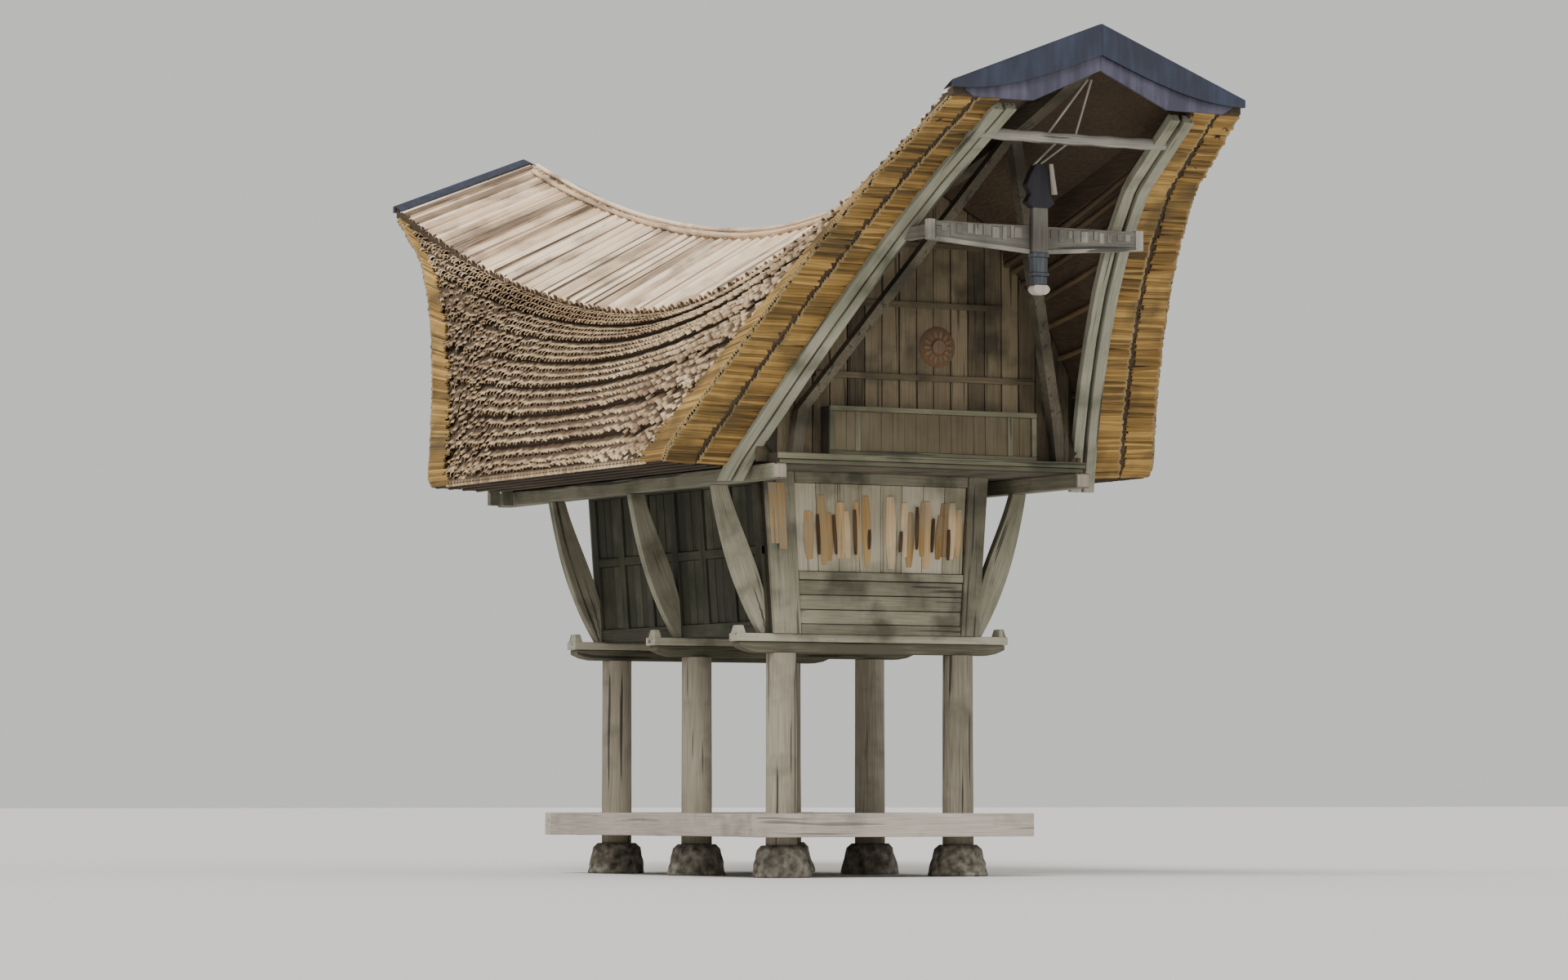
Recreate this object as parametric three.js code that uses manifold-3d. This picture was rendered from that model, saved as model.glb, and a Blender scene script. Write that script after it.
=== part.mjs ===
// A rice-barn house in tongkonan form: six round posts on stones, a low sitting platform,
// a leaning timber body on cross sills with curved brackets, and a great saddle roof of
// layered bamboo whose ridge ends sweep far out over the front and the back.
// Units are millimetres and +Z is up. The front gable faces -Y. The origin is on the
// ground, in the middle of the house.

import * as THREE from 'three';
import { mergeVertices } from 'three/addons/utils/BufferGeometryUtils.js';
import Module from 'manifold-3d';

const wasm = await Module();
wasm.setup();

// Clear space kept between pieces that meet on cut, sloping or curved faces
const SEAT = 0.4;

// Footing stones and round posts, in three cross rows of two
const POST_X = 960;
const BAY = 1690;
const ROW_Y = { front: -BAY, middle: 0, back: BAY };
const SIDES = { left: -1, right: 1 };
const ENDS = { front: -1, back: 1 };
const STONE_HEIGHT = 300;
const STONE_TOP_RADIUS = 230;
const STONE_FOOT_RADIUS = 300;
const POST_RADIUS = 150;
const POST_TOP = 2100;

// Sitting platform: a frame of edge beams and three bearers that pass through the posts
const DECK_HALF_WIDTH = 1500;
const DECK_HALF_LENGTH = 2200;
const DECK_TOP = 600;
const DECK_THICK = 40;
const EDGE_BEAM = { wide: 120, deep: 220 };
const BEARER_WIDE = 100;

// Cross sills on the posts, and the body that stands on them
const SILL = { halfLength: 1470, wide: 200, deep: 180 };
const SILL_TOP = POST_TOP + SILL.deep;
const BODY_HALF_LENGTH = BAY + SILL.wide / 2;
const BODY_HALF_FOOT = 1110;
const BODY_HALF_HEAD = 1220;
const WALL_THICK = 50;
const FLOOR_THICK = 40;
const WALL_TOP = 3800;

// Curved brackets from the sill ends up to the eave beams
const BRACKET_THICK = 90;
const BRACKET_TOP = 3660;
const BRACKET_FOOT = { inner: 1130, outer: 1200 };
const BRACKET_LOW_BEND = { inner: 1080, outer: 1500 };
const BRACKET_HIGH_BEND = { inner: 1420, outer: 1620 };
const BRACKET_HEAD = { inner: 1555, outer: 1705 };
const BRACKET_STEPS = 8;

// Eave beams along both sides, and the attic floor with its joists and purlins
const EAVE_BEAM_HALF_LENGTH = 2880;
const ATTIC_HALF_WIDTH = 1600;
const ATTIC_THICK = 40;
const JOIST = { wide: 120, deep: 120, halfLength: 1820 };
const PURLIN = { inner: 1660, outer: 1780, halfLength: 2300, blankTop: 4600 };

// Gable: a rail on the eave beams with a boxed panel on it, and a board panel up to the
// roof behind them, all set forward of the wall
const GABLE_BOX = { railHalf: 1650, railTop: 3900, halfWidth: 1112, top: 4340, thick: 170 };
const GABLE_FACE_Y = 2700;
const GABLE_PANEL_THICK = 40;
const GABLE_BLANK = { footHalf: 1550, kneeHalf: 1950, kneeZ: 4350, headHalf: 320, headZ: 6600 };
const GABLE_SHOULDER = { half: 1400, z: 5650 };

// Saddle roof. "t" runs from -1 at the front end to 1 at the back end, and "down" runs
// from 0 at the saddle strip's edge to 1 at the eave.
const ROOF_HALF_LENGTH = 5770;
const CURVE_POWER = 1.8;
const RIDGE = { low: 6270, rise: 1290 };
const STRIP_EDGE = { low: 5500, rise: 1480 };
const STRIP_HALF = { middle: 1300, tips: 1500 };
const STRIP_THICK = 110;
const STRIP_OVERHANG = 20;
const EAVE = { x: 2640, y: 2470, z: 3830, lip: 30 };
const SPREAD_POWER = 1.42;
const FALL_POWER = 2.35;
const SLOPE_THICK = { head: 480, foot: 690 };
const SLOPE_COLLAR = { outer: 40, inner: 330 };
const ROOF_STEPS = 24;

// Ribs of long split canes across the strip, and butt courses that step down the slopes
const RIBS = { count: 60, deep: 36 };
const COURSES = { count: 7, deep: 45, butt: 0.006, spacing: 0.62 };

// Ridge beam under the strip and the cap boards that close its two ends
const RIDGE_BEAM = { halfWidth: 70, deep: 200, blankRise: 60, end: 0.985 };
const CAP = { thick: 60, deep: 415, proud: 20, side: 15, edge: 70 };
const CAP_FOOT = { kneeHalf: 700, half: 1290, z: 6855 };

// Frame in the open gable: barge boards, a carved tie plank held out on two stubs, the
// upper tie pole, and a pendant with a broad head on the plank
const BARGE = { wide: 210, lap: 40, thick: 60, blank: 30, head: 0.03, foot: 1.02 };
const TIE_PLANK = { low: 5725, high: 5885, halfWidth: 1130, thick: 50, sink: 80, forward: 480 };
const TIE_STUB = { inner: 1000, outer: 1090, inset: 25 };
const UPPER_TIE = { z: 6615, radius: 57, halfWidth: 1090 };
const PENDANT = { low: 5260, halfWidth: 92, thick: 90 };
const PENDANT_HEAD = { low: 6000, high: 6450, halfWidth: 140 };

// Inner rafters: each stands upright on the rail up to a knee, then leans to the ridge beam
const RAFTER = { wide: 110, thick: 110 };
const RAFTER_FOOT = { x: 1420, y: 2775 };
const RAFTER_KNEE = { x: 1364, y: 2790, z: 4300 };
const RAFTER_HEAD_Y = 4300;

// Materials
const timber = paint(0x7f7d6b, 0.85);
const postWood = paint(0x979080, 0.85);
const deckWood = paint(0xa0958a, 0.85);
const wallWood = paint(0x8e8a78, 0.85);
const carvedWood = paint(0x9a978c, 0.8);
const stoneGrey = paint(0x77736a, 0.95);
const bambooBrown = paint(0x7a6450, 0.9);
const bambooPale = paint(0xcfc3b5, 0.8);
const capBlue = paint(0x333e58, 0.5);

const house = new THREE.Group();
house.name = 'tongkonan_house';

function paint(color, roughness) {
  return new THREE.MeshStandardMaterial({ color, roughness, metalness: 0 });
}

function add(name, geometry, material) {
  const mesh = new THREE.Mesh(geometry, material);
  mesh.name = name;
  house.add(mesh);
  return mesh;
}

// A closed solid for cutting and joining, from a closed three.js geometry
function solidOf(geometry) {
  const bare = geometry.clone();
  bare.deleteAttribute('normal');
  bare.deleteAttribute('uv');
  const merged = mergeVertices(bare, 1e-3);
  const vertProperties = Float32Array.from(merged.attributes.position.array);
  const triVerts = Uint32Array.from(merged.index.array);
  return new wasm.Manifold(new wasm.Mesh({ numProp: 3, vertProperties, triVerts }));
}

function geometryOf(solid) {
  const mesh = solid.getMesh();
  const geometry = new THREE.BufferGeometry();
  geometry.setAttribute('position', new THREE.BufferAttribute(mesh.vertProperties, 3));
  geometry.setIndex(new THREE.BufferAttribute(mesh.triVerts, 1));
  geometry.computeVertexNormals();
  return geometry;
}

// The biggest body that is left after a cut
function largestBody(solid) {
  const bodies = solid.decompose();
  bodies.sort((a, b) => b.volume() - a.volume());
  return bodies[0];
}

// A solid with the clear space all around it, for cutting what fits against it
function withSeat(solid) {
  let grown = solid;
  for (const way of [-SEAT, SEAT]) {
    for (const shift of [[way, 0, 0], [0, way, 0], [0, 0, way]]) {
      grown = grown.add(solid.translate(shift));
    }
  }
  return grown;
}

// A box given by its lowest and highest corners
function block(low, high) {
  const size = high.map((value, axis) => value - low[axis]);
  const geometry = new THREE.BoxGeometry(...size);
  geometry.translate(...high.map((value, axis) => (value + low[axis]) / 2));
  return geometry;
}

// A flat outline in the XZ plane, given a thickness along Y from y0 to y1
function plate(outline, y0, y1) {
  const shape = new THREE.Shape(outline.map(([x, z]) => new THREE.Vector2(x, z)));
  const geometry = new THREE.ExtrudeGeometry(shape, { depth: y1 - y0, bevelEnabled: false });
  geometry.rotateX(Math.PI / 2);
  geometry.translate(0, y1, 0);
  return geometry;
}

// A closed slab between two curved faces, each a function of the fractions i and j
function slab(upper, lower, rows, columns) {
  const points = [];
  for (const face of [upper, lower]) {
    for (let i = 0; i <= rows; i += 1) {
      for (let j = 0; j <= columns; j += 1) {
        points.push(...face(i / rows, j / columns));
      }
    }
  }
  const layer = (rows + 1) * (columns + 1);
  const at = (side, i, j) => side * layer + i * (columns + 1) + j;
  const index = [];
  const quad = (a, b, c, d) => index.push(a, b, c, a, c, d);
  for (let i = 0; i < rows; i += 1) {
    for (let j = 0; j < columns; j += 1) {
      quad(at(0, i, j), at(0, i + 1, j), at(0, i + 1, j + 1), at(0, i, j + 1));
      quad(at(1, i, j), at(1, i, j + 1), at(1, i + 1, j + 1), at(1, i + 1, j));
    }
    quad(at(0, i, 0), at(1, i, 0), at(1, i + 1, 0), at(0, i + 1, 0));
    quad(at(0, i, columns), at(0, i + 1, columns), at(1, i + 1, columns), at(1, i, columns));
  }
  for (let j = 0; j < columns; j += 1) {
    quad(at(0, 0, j), at(0, 0, j + 1), at(1, 0, j + 1), at(1, 0, j));
    quad(at(0, rows, j), at(1, rows, j), at(1, rows, j + 1), at(0, rows, j + 1));
  }
  const geometry = new THREE.BufferGeometry();
  geometry.setAttribute('position', new THREE.Float32BufferAttribute(points, 3));
  geometry.setIndex(volumeOf(points, index) < 0 ? flipped(index) : index);
  geometry.computeVertexNormals();
  return geometry;
}

function volumeOf(points, index) {
  const a = new THREE.Vector3();
  const b = new THREE.Vector3();
  const c = new THREE.Vector3();
  let volume = 0;
  for (let k = 0; k < index.length; k += 3) {
    a.fromArray(points, 3 * index[k]);
    b.fromArray(points, 3 * index[k + 1]);
    c.fromArray(points, 3 * index[k + 2]);
    volume += a.dot(b.cross(c)) / 6;
  }
  return volume;
}

function flipped(index) {
  const turned = [];
  for (let k = 0; k < index.length; k += 3) {
    turned.push(index[k], index[k + 2], index[k + 1]);
  }
  return turned;
}

function mix(a, b, share) {
  return a + (b - a) * share;
}

// Curves of the roof
function sweep(t) {
  return Math.abs(t) ** CURVE_POWER;
}

function ridgeZ(t) {
  return RIDGE.low + RIDGE.rise * sweep(t);
}

function stripEdgeZ(t) {
  return STRIP_EDGE.low + STRIP_EDGE.rise * sweep(t);
}

function stripHalf(t) {
  return mix(STRIP_HALF.middle, STRIP_HALF.tips, sweep(t));
}

// Height of the strip's top at a distance x from the middle
function stripTopZ(t, x) {
  return mix(ridgeZ(t), stripEdgeZ(t), Math.abs(x) / stripHalf(t));
}

function vergeY(down) {
  return mix(ROOF_HALF_LENGTH, EAVE.y, down);
}

// A point on the outer face of the right-hand slope. Near the ridge ends the slope is a
// narrow band under the strip's edge, and it opens out towards the eave.
function slopeOuter(t, down) {
  const y = t * vergeY(down);
  const along = y / ROOF_HALF_LENGTH;
  const x = stripHalf(along) - STRIP_OVERHANG;
  const z = stripTopZ(along, x) - STRIP_THICK;
  return [mix(x, EAVE.x, down ** SPREAD_POWER), y, mix(z, EAVE.z, down ** FALL_POWER)];
}

function slopeInner(t, down) {
  const [x, y, z] = slopeOuter(t, down);
  return [x - mix(SLOPE_THICK.head, SLOPE_THICK.foot, down), y, z - EAVE.lip * down];
}

// The strip, with ribs on its top that run from the ridge to both edges
function saddleGeometry() {
  const rows = 2 * RIBS.count;
  const face = (drop, valley) => (i, j) => {
    const t = 2 * i - 1;
    const x = (2 * j - 1) * stripHalf(t);
    const isValley = Math.round(i * rows) % 2 === 1;
    return [x, t * ROOF_HALF_LENGTH, stripTopZ(t, x) - drop - (isValley ? valley : 0)];
  };
  return slab(face(0, RIBS.deep), face(STRIP_THICK, 0), rows, 2);
}

// Where the outer face of a slope bends, and how far in it lies there. Each course leans
// out to its butt edge, and the next one starts further in.
function courseStations() {
  const stations = [{ down: 0, sunk: 0 }];
  for (let course = 1; course <= COURSES.count; course += 1) {
    const foot = (course / COURSES.count) ** COURSES.spacing;
    stations.push({ down: foot, sunk: 0 });
    if (course < COURSES.count) {
      stations.push({ down: foot + COURSES.butt, sunk: COURSES.deep });
    }
  }
  return stations;
}

// One slope before the strip is cut out of it: its first column stands up as a collar that
// fills the wedge under the strip
function slopeBlank(side) {
  const stations = courseStations();
  const face = (curve, collar, depth) => (i, j) => {
    const number = Math.round(j * stations.length);
    const { down, sunk } = stations[Math.max(0, number - 1)];
    const [x, y, z] = curve(2 * i - 1, down);
    return [side * (x - depth * sunk), y, number === 0 ? z + collar : z];
  };
  const outer = face(slopeOuter, SLOPE_COLLAR.outer, 1);
  const inner = face(slopeInner, SLOPE_COLLAR.inner, 0);
  return slab(outer, inner, ROOF_STEPS, stations.length);
}

function addRoof() {
  const strip = solidOf(saddleGeometry());
  const stripCut = withSeat(strip);
  const slopes = {};
  for (const [side, sign] of Object.entries(SIDES)) {
    slopes[side] = largestBody(solidOf(slopeBlank(sign)).subtract(stripCut));
    add(`roof_${side}`, geometryOf(slopes[side]), bambooBrown);
  }
  add('roof_saddle', geometryOf(strip), bambooPale);
  const beam = largestBody(solidOf(ridgeBeamBlank()).subtract(stripCut));
  add('ridge_beam', geometryOf(beam), timber);
  return stripCut.add(withSeat(slopes.left)).add(withSeat(slopes.right)).add(withSeat(beam));
}

function ridgeBeamBlank() {
  const face = (drop) => (i, j) => {
    const t = (2 * i - 1) * RIDGE_BEAM.end;
    const x = (2 * j - 1) * RIDGE_BEAM.halfWidth;
    return [x, t * ROOF_HALF_LENGTH, ridgeZ(t) - STRIP_THICK - drop];
  };
  return slab(face(-RIDGE_BEAM.blankRise), face(RIDGE_BEAM.deep), ROOF_STEPS, 2);
}

// Cap boards: an upturned V with level feet that closes the front or back end of the strip
function addRidgeCap(end, sign) {
  const half = STRIP_HALF.tips + CAP.side;
  const top = (x) => stripTopZ(1, x) + CAP.proud;
  const outline = [
    [-half, top(half)],
    [-half, top(half) - CAP.edge],
    [-CAP_FOOT.half, CAP_FOOT.z],
    [-CAP_FOOT.kneeHalf, CAP_FOOT.z],
    [0, top(0) - CAP.deep],
    [CAP_FOOT.kneeHalf, CAP_FOOT.z],
    [CAP_FOOT.half, CAP_FOOT.z],
    [half, top(half) - CAP.edge],
    [half, top(half)],
    [0, top(0)],
  ];
  const inner = sign * ROOF_HALF_LENGTH;
  const outer = sign * (ROOF_HALF_LENGTH + CAP.thick);
  add(`ridge_cap_${end}`, plate(outline, Math.min(inner, outer), Math.max(inner, outer)), capBlue);
}

// One barge board on the inner edge of the verge, before it is cut by the roof
function bargeBlank(side, end) {
  const step = 0.01;
  const face = (inward) => (i, j) => {
    const down = mix(BARGE.head, BARGE.foot, i);
    const [x, y, z] = slopeInner(1, down);
    const [, nextY, nextZ] = slopeInner(1, down + step);
    const length = Math.hypot(nextY - y, nextZ - z);
    const proud = mix(-BARGE.blank, BARGE.thick, j);
    const forward = proud * (z - nextZ) / length;
    const lift = proud * (nextY - y) / length;
    return [side * (x - inward), end * (y + forward), z + lift];
  };
  return slab(face(BARGE.wide), face(-BARGE.lap), ROOF_STEPS / 2, 1);
}

// The place on the verge that lies at a given height
function vergeAt(z) {
  let low = 0;
  let high = 1;
  for (let turn = 0; turn < 30; turn += 1) {
    const down = (low + high) / 2;
    if (slopeInner(1, down)[2] > z) low = down;
    else high = down;
  }
  return slopeInner(1, low);
}

function addGableFrame(end, sign, roofCut) {
  const vergePlaneY = vergeAt((TIE_PLANK.low + TIE_PLANK.high) / 2)[1];
  const plankY = sign * (vergePlaneY + TIE_PLANK.forward);
  const plank = plate([
    [-TIE_PLANK.halfWidth, TIE_PLANK.low],
    [0, TIE_PLANK.low - TIE_PLANK.sink],
    [TIE_PLANK.halfWidth, TIE_PLANK.low],
    [TIE_PLANK.halfWidth, TIE_PLANK.high],
    [-TIE_PLANK.halfWidth, TIE_PLANK.high],
  ], plankY - TIE_PLANK.thick / 2, plankY + TIE_PLANK.thick / 2);
  const pole = new THREE.CylinderGeometry(UPPER_TIE.radius, UPPER_TIE.radius, 2 * UPPER_TIE.halfWidth, 10);
  pole.rotateZ(Math.PI / 2);
  pole.translate(0, sign * vergeAt(UPPER_TIE.z)[1], UPPER_TIE.z);
  const nearY = plankY + sign * TIE_PLANK.thick / 4;
  const farY = nearY + sign * PENDANT.thick;
  const pendant = plate([
    [-PENDANT.halfWidth, PENDANT.low],
    [PENDANT.halfWidth, PENDANT.low],
    [PENDANT.halfWidth, PENDANT_HEAD.low],
    [PENDANT_HEAD.halfWidth, PENDANT_HEAD.low],
    [PENDANT_HEAD.halfWidth, PENDANT_HEAD.high],
    [-PENDANT_HEAD.halfWidth, PENDANT_HEAD.high],
    [-PENDANT_HEAD.halfWidth, PENDANT_HEAD.low],
    [-PENDANT.halfWidth, PENDANT_HEAD.low],
  ], Math.min(nearY, farY), Math.max(nearY, farY));
  const stub = (side) => {
    const x = [side * TIE_STUB.inner, side * TIE_STUB.outer];
    const y = [sign * vergePlaneY, plankY];
    return block(
      [Math.min(...x), Math.min(...y), TIE_PLANK.low + TIE_STUB.inset],
      [Math.max(...x), Math.max(...y), TIE_PLANK.high - TIE_STUB.inset],
    );
  };
  let frame = solidOf(bargeBlank(-1, sign)).add(solidOf(bargeBlank(1, sign)));
  for (const piece of [plank, pole, pendant, stub(-1), stub(1)]) {
    frame = frame.add(solidOf(piece));
  }
  frame = largestBody(frame.subtract(roofCut));
  add(`gable_frame_${end}`, geometryOf(frame), carvedWood);
  return withSeat(frame);
}

// Two inner rafters in the open gable, from the rail up to the ridge beam
function addInnerRafters(end, sign, roofCut) {
  const beamUnderside = ridgeZ(RAFTER_HEAD_Y / ROOF_HALF_LENGTH) - STRIP_THICK - RIDGE_BEAM.deep;
  const stations = [
    { ...RAFTER_FOOT, z: GABLE_BOX.railTop },
    RAFTER_KNEE,
    { x: 0, y: RAFTER_HEAD_Y, z: beamUnderside + RAFTER.wide / 2 },
  ];
  const leg = (side) => {
    const face = (shift) => (i, j) => {
      const { x, y, z } = stations[2 * i];
      return [side * (x + mix(-RAFTER.wide, RAFTER.wide, j) / 2), sign * (y + shift), z];
    };
    return solidOf(slab(face(-RAFTER.thick / 2), face(RAFTER.thick / 2), 2, 1));
  };
  const pair = leg(-1).add(leg(1)).subtract(roofCut);
  add(`inner_rafters_${end}`, geometryOf(largestBody(pair)), timber);
}

function addGable(end, sign, roofCut) {
  const { footHalf, kneeHalf, kneeZ, headHalf, headZ } = GABLE_BLANK;
  const foot = WALL_TOP + ATTIC_THICK;
  const outline = [
    [-footHalf, foot],
    [footHalf, foot],
    [kneeHalf, kneeZ],
    [GABLE_SHOULDER.half, GABLE_SHOULDER.z],
    [headHalf, headZ],
    [-headHalf, headZ],
    [-GABLE_SHOULDER.half, GABLE_SHOULDER.z],
    [-kneeHalf, kneeZ],
  ];
  const inner = sign * (GABLE_FACE_Y - GABLE_PANEL_THICK);
  const face = sign * GABLE_FACE_Y;
  const blank = solidOf(plate(outline, Math.min(inner, face), Math.max(inner, face)));
  add(`gable_panel_${end}`, geometryOf(largestBody(blank.subtract(roofCut))), wallWood);

  const box = [
    [-GABLE_BOX.railHalf, WALL_TOP],
    [GABLE_BOX.railHalf, WALL_TOP],
    [GABLE_BOX.railHalf, GABLE_BOX.railTop],
    [GABLE_BOX.halfWidth, GABLE_BOX.railTop],
    [GABLE_BOX.halfWidth, GABLE_BOX.top],
    [-GABLE_BOX.halfWidth, GABLE_BOX.top],
    [-GABLE_BOX.halfWidth, GABLE_BOX.railTop],
    [-GABLE_BOX.railHalf, GABLE_BOX.railTop],
  ];
  const outer = sign * (GABLE_FACE_Y + GABLE_BOX.thick);
  add(`gable_box_${end}`, plate(box, Math.min(outer, face), Math.max(outer, face)), wallWood);
}

function addStonesAndPosts() {
  const mortise = (y) => solidOf(block(
    [-DECK_HALF_WIDTH, y - BEARER_WIDE / 2 - SEAT, DECK_TOP - EDGE_BEAM.deep - SEAT],
    [DECK_HALF_WIDTH, y + BEARER_WIDE / 2 + SEAT, DECK_TOP - DECK_THICK + SEAT],
  ));
  for (const [row, y] of Object.entries(ROW_Y)) {
    for (const [side, sign] of Object.entries(SIDES)) {
      const stone = new THREE.CylinderGeometry(STONE_TOP_RADIUS, STONE_FOOT_RADIUS, STONE_HEIGHT, 10);
      stone.rotateX(Math.PI / 2);
      stone.translate(sign * POST_X, y, STONE_HEIGHT / 2);
      add(`stone_${side}_${row}`, stone, stoneGrey);
      const post = new THREE.CylinderGeometry(POST_RADIUS, POST_RADIUS, POST_TOP - STONE_HEIGHT, 16);
      post.rotateX(Math.PI / 2);
      post.translate(sign * POST_X, y, (POST_TOP + STONE_HEIGHT) / 2);
      add(`post_${side}_${row}`, geometryOf(solidOf(post).subtract(mortise(y))), postWood);
    }
  }
}

function addPlatform() {
  const low = DECK_TOP - EDGE_BEAM.deep;
  const insideX = DECK_HALF_WIDTH - EDGE_BEAM.wide;
  const insideY = DECK_HALF_LENGTH - EDGE_BEAM.wide;
  let frame = solidOf(block([-DECK_HALF_WIDTH, -DECK_HALF_LENGTH, low], [DECK_HALF_WIDTH, DECK_HALF_LENGTH, DECK_TOP]));
  frame = frame.subtract(solidOf(block([-insideX, -insideY, low - 1], [insideX, insideY, DECK_TOP + 1])));
  let deck = solidOf(block(
    [-insideX, -insideY, DECK_TOP - DECK_THICK],
    [insideX, insideY, DECK_TOP],
  ));
  for (const y of Object.values(ROW_Y)) {
    frame = frame.add(solidOf(block(
      [-insideX - 1, y - BEARER_WIDE / 2, low],
      [insideX + 1, y + BEARER_WIDE / 2, DECK_TOP - DECK_THICK],
    )));
    for (const sign of Object.values(SIDES)) {
      const hole = new THREE.CylinderGeometry(POST_RADIUS + SEAT, POST_RADIUS + SEAT, 4 * DECK_THICK, 16);
      hole.rotateX(Math.PI / 2);
      hole.translate(sign * POST_X, y, DECK_TOP);
      deck = deck.subtract(solidOf(hole));
    }
  }
  add('platform_frame', geometryOf(frame), deckWood);
  add('platform_deck', geometryOf(deck), deckWood);
}

function addSillsAndFloor() {
  for (const [row, y] of Object.entries(ROW_Y)) {
    const sill = block(
      [-SILL.halfLength, y - SILL.wide / 2, POST_TOP],
      [SILL.halfLength, y + SILL.wide / 2, SILL_TOP],
    );
    add(`cross_sill_${row}`, sill, timber);
  }
  const halfX = BODY_HALF_FOOT - WALL_THICK;
  const halfY = BODY_HALF_LENGTH - WALL_THICK;
  add('floor', block([-halfX, -halfY, SILL_TOP], [halfX, halfY, SILL_TOP + FLOOR_THICK]), deckWood);
}

function addWalls() {
  const outline = [
    [-BODY_HALF_FOOT, SILL_TOP],
    [BODY_HALF_FOOT, SILL_TOP],
    [BODY_HALF_HEAD, WALL_TOP],
    [-BODY_HALF_HEAD, WALL_TOP],
  ];
  const face = BODY_HALF_LENGTH;
  const back = face - WALL_THICK;
  add('front_wall', plate(outline, -face, -back), wallWood);
  add('back_wall', plate(outline, back, face), wallWood);
  for (const [side, sign] of Object.entries(SIDES)) {
    const section = [
      [sign * (BODY_HALF_FOOT - WALL_THICK), SILL_TOP],
      [sign * BODY_HALF_FOOT, SILL_TOP],
      [sign * BODY_HALF_HEAD, WALL_TOP],
      [sign * (BODY_HALF_HEAD - WALL_THICK), WALL_TOP],
    ];
    add(`${side}_wall`, plate(section, -back, back), timber);
  }
}

// One bracket plank: narrow at the foot, widest where it swings out, and slimmer up to the head
function bracketOutline(sign) {
  const rise = BRACKET_TOP - SILL_TOP;
  const edge = (line) => {
    const bend = new THREE.CubicBezierCurve(
      new THREE.Vector2(sign * BRACKET_FOOT[line], SILL_TOP),
      new THREE.Vector2(sign * BRACKET_LOW_BEND[line], SILL_TOP + rise / 3),
      new THREE.Vector2(sign * BRACKET_HIGH_BEND[line], BRACKET_TOP - rise / 3),
      new THREE.Vector2(sign * BRACKET_HEAD[line], BRACKET_TOP),
    );
    return bend.getPoints(BRACKET_STEPS).map((point) => [point.x, point.y]);
  };
  return edge("outer").concat(edge("inner").reverse());
}

function addBrackets() {
  for (const [row, y] of Object.entries(ROW_Y)) {
    for (const [side, sign] of Object.entries(SIDES)) {
      const bracket = plate(bracketOutline(sign), y - BRACKET_THICK / 2, y + BRACKET_THICK / 2);
      add(`bracket_${side}_${row}`, bracket, timber);
    }
  }
}

function addEavesAndAttic(roofCut) {
  const head = BRACKET_HEAD;
  for (const [side, sign] of Object.entries(SIDES)) {
    const inner = sign * head.inner;
    const outer = sign * head.outer;
    const beam = block(
      [Math.min(inner, outer), -EAVE_BEAM_HALF_LENGTH, BRACKET_TOP],
      [Math.max(inner, outer), EAVE_BEAM_HALF_LENGTH, WALL_TOP],
    );
    add(`eave_beam_${side}`, beam, timber);
    const near = sign * PURLIN.inner;
    const far = sign * PURLIN.outer;
    const blank = solidOf(block(
      [Math.min(near, far), -PURLIN.halfLength, WALL_TOP + ATTIC_THICK + JOIST.deep],
      [Math.max(near, far), PURLIN.halfLength, PURLIN.blankTop],
    ));
    add(`eave_purlin_${side}`, geometryOf(largestBody(blank.subtract(roofCut))), timber);
  }
  const halfY = GABLE_FACE_Y;
  const deckTop = WALL_TOP + ATTIC_THICK;
  let attic = solidOf(block([-ATTIC_HALF_WIDTH, -halfY, WALL_TOP], [ATTIC_HALF_WIDTH, halfY, deckTop]));
  for (const y of Object.values(ROW_Y)) {
    attic = attic.add(solidOf(block(
      [-JOIST.halfLength, y - JOIST.wide / 2, deckTop - 1],
      [JOIST.halfLength, y + JOIST.wide / 2, deckTop + JOIST.deep],
    )));
  }
  add('attic_floor', geometryOf(attic), timber);
}

addStonesAndPosts();
addPlatform();
addSillsAndFloor();
addWalls();
addBrackets();
const roofCut = addRoof();
addEavesAndAttic(roofCut);
for (const [end, sign] of Object.entries(ENDS)) {
  addRidgeCap(end, sign);
  const frameCut = addGableFrame(end, sign, roofCut);
  addGable(end, sign, roofCut.add(frameCut));
  addInnerRafters(end, sign, roofCut);
}

export default house;
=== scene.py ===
# A weathered rice-barn house in tongkonan form, dressed over its packed construction.
# Units are metres and +Z is up. The front gable faces -Y.

from functools import partial
from math import cos, pi, radians, sin
from random import gauss, random, seed, uniform

import bmesh
import bpy
import numpy as np
from mathutils import Matrix, Vector, noise


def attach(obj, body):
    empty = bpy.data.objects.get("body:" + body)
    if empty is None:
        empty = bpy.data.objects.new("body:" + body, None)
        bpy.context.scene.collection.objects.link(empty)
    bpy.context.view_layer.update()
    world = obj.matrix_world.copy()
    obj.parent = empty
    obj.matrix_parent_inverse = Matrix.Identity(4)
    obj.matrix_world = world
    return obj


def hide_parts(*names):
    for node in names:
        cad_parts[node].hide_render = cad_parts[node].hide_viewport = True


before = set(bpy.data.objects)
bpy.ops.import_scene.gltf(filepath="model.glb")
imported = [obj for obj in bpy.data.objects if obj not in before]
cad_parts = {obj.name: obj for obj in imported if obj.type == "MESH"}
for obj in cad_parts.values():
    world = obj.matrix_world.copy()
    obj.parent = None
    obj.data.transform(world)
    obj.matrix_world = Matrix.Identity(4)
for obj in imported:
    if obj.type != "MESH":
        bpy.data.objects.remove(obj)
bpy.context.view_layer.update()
seed(41)


# Camera, light and floor
# The camera looks from the front left, from about 50 m away and low over the ground, with
# a long lens. The floor is plain, pale and matt, and the light is a soft overcast one.
CAMERA_PLACE = Vector((-25.37, -46.02, 0.75))
CAMERA_AIM = Vector((0.0, 0.0, 3.74))
LENS_MM, SENSOR_MM = 124, 36
FLOOR_SIZE = 600
SKY_STRENGTH = 0.85
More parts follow.
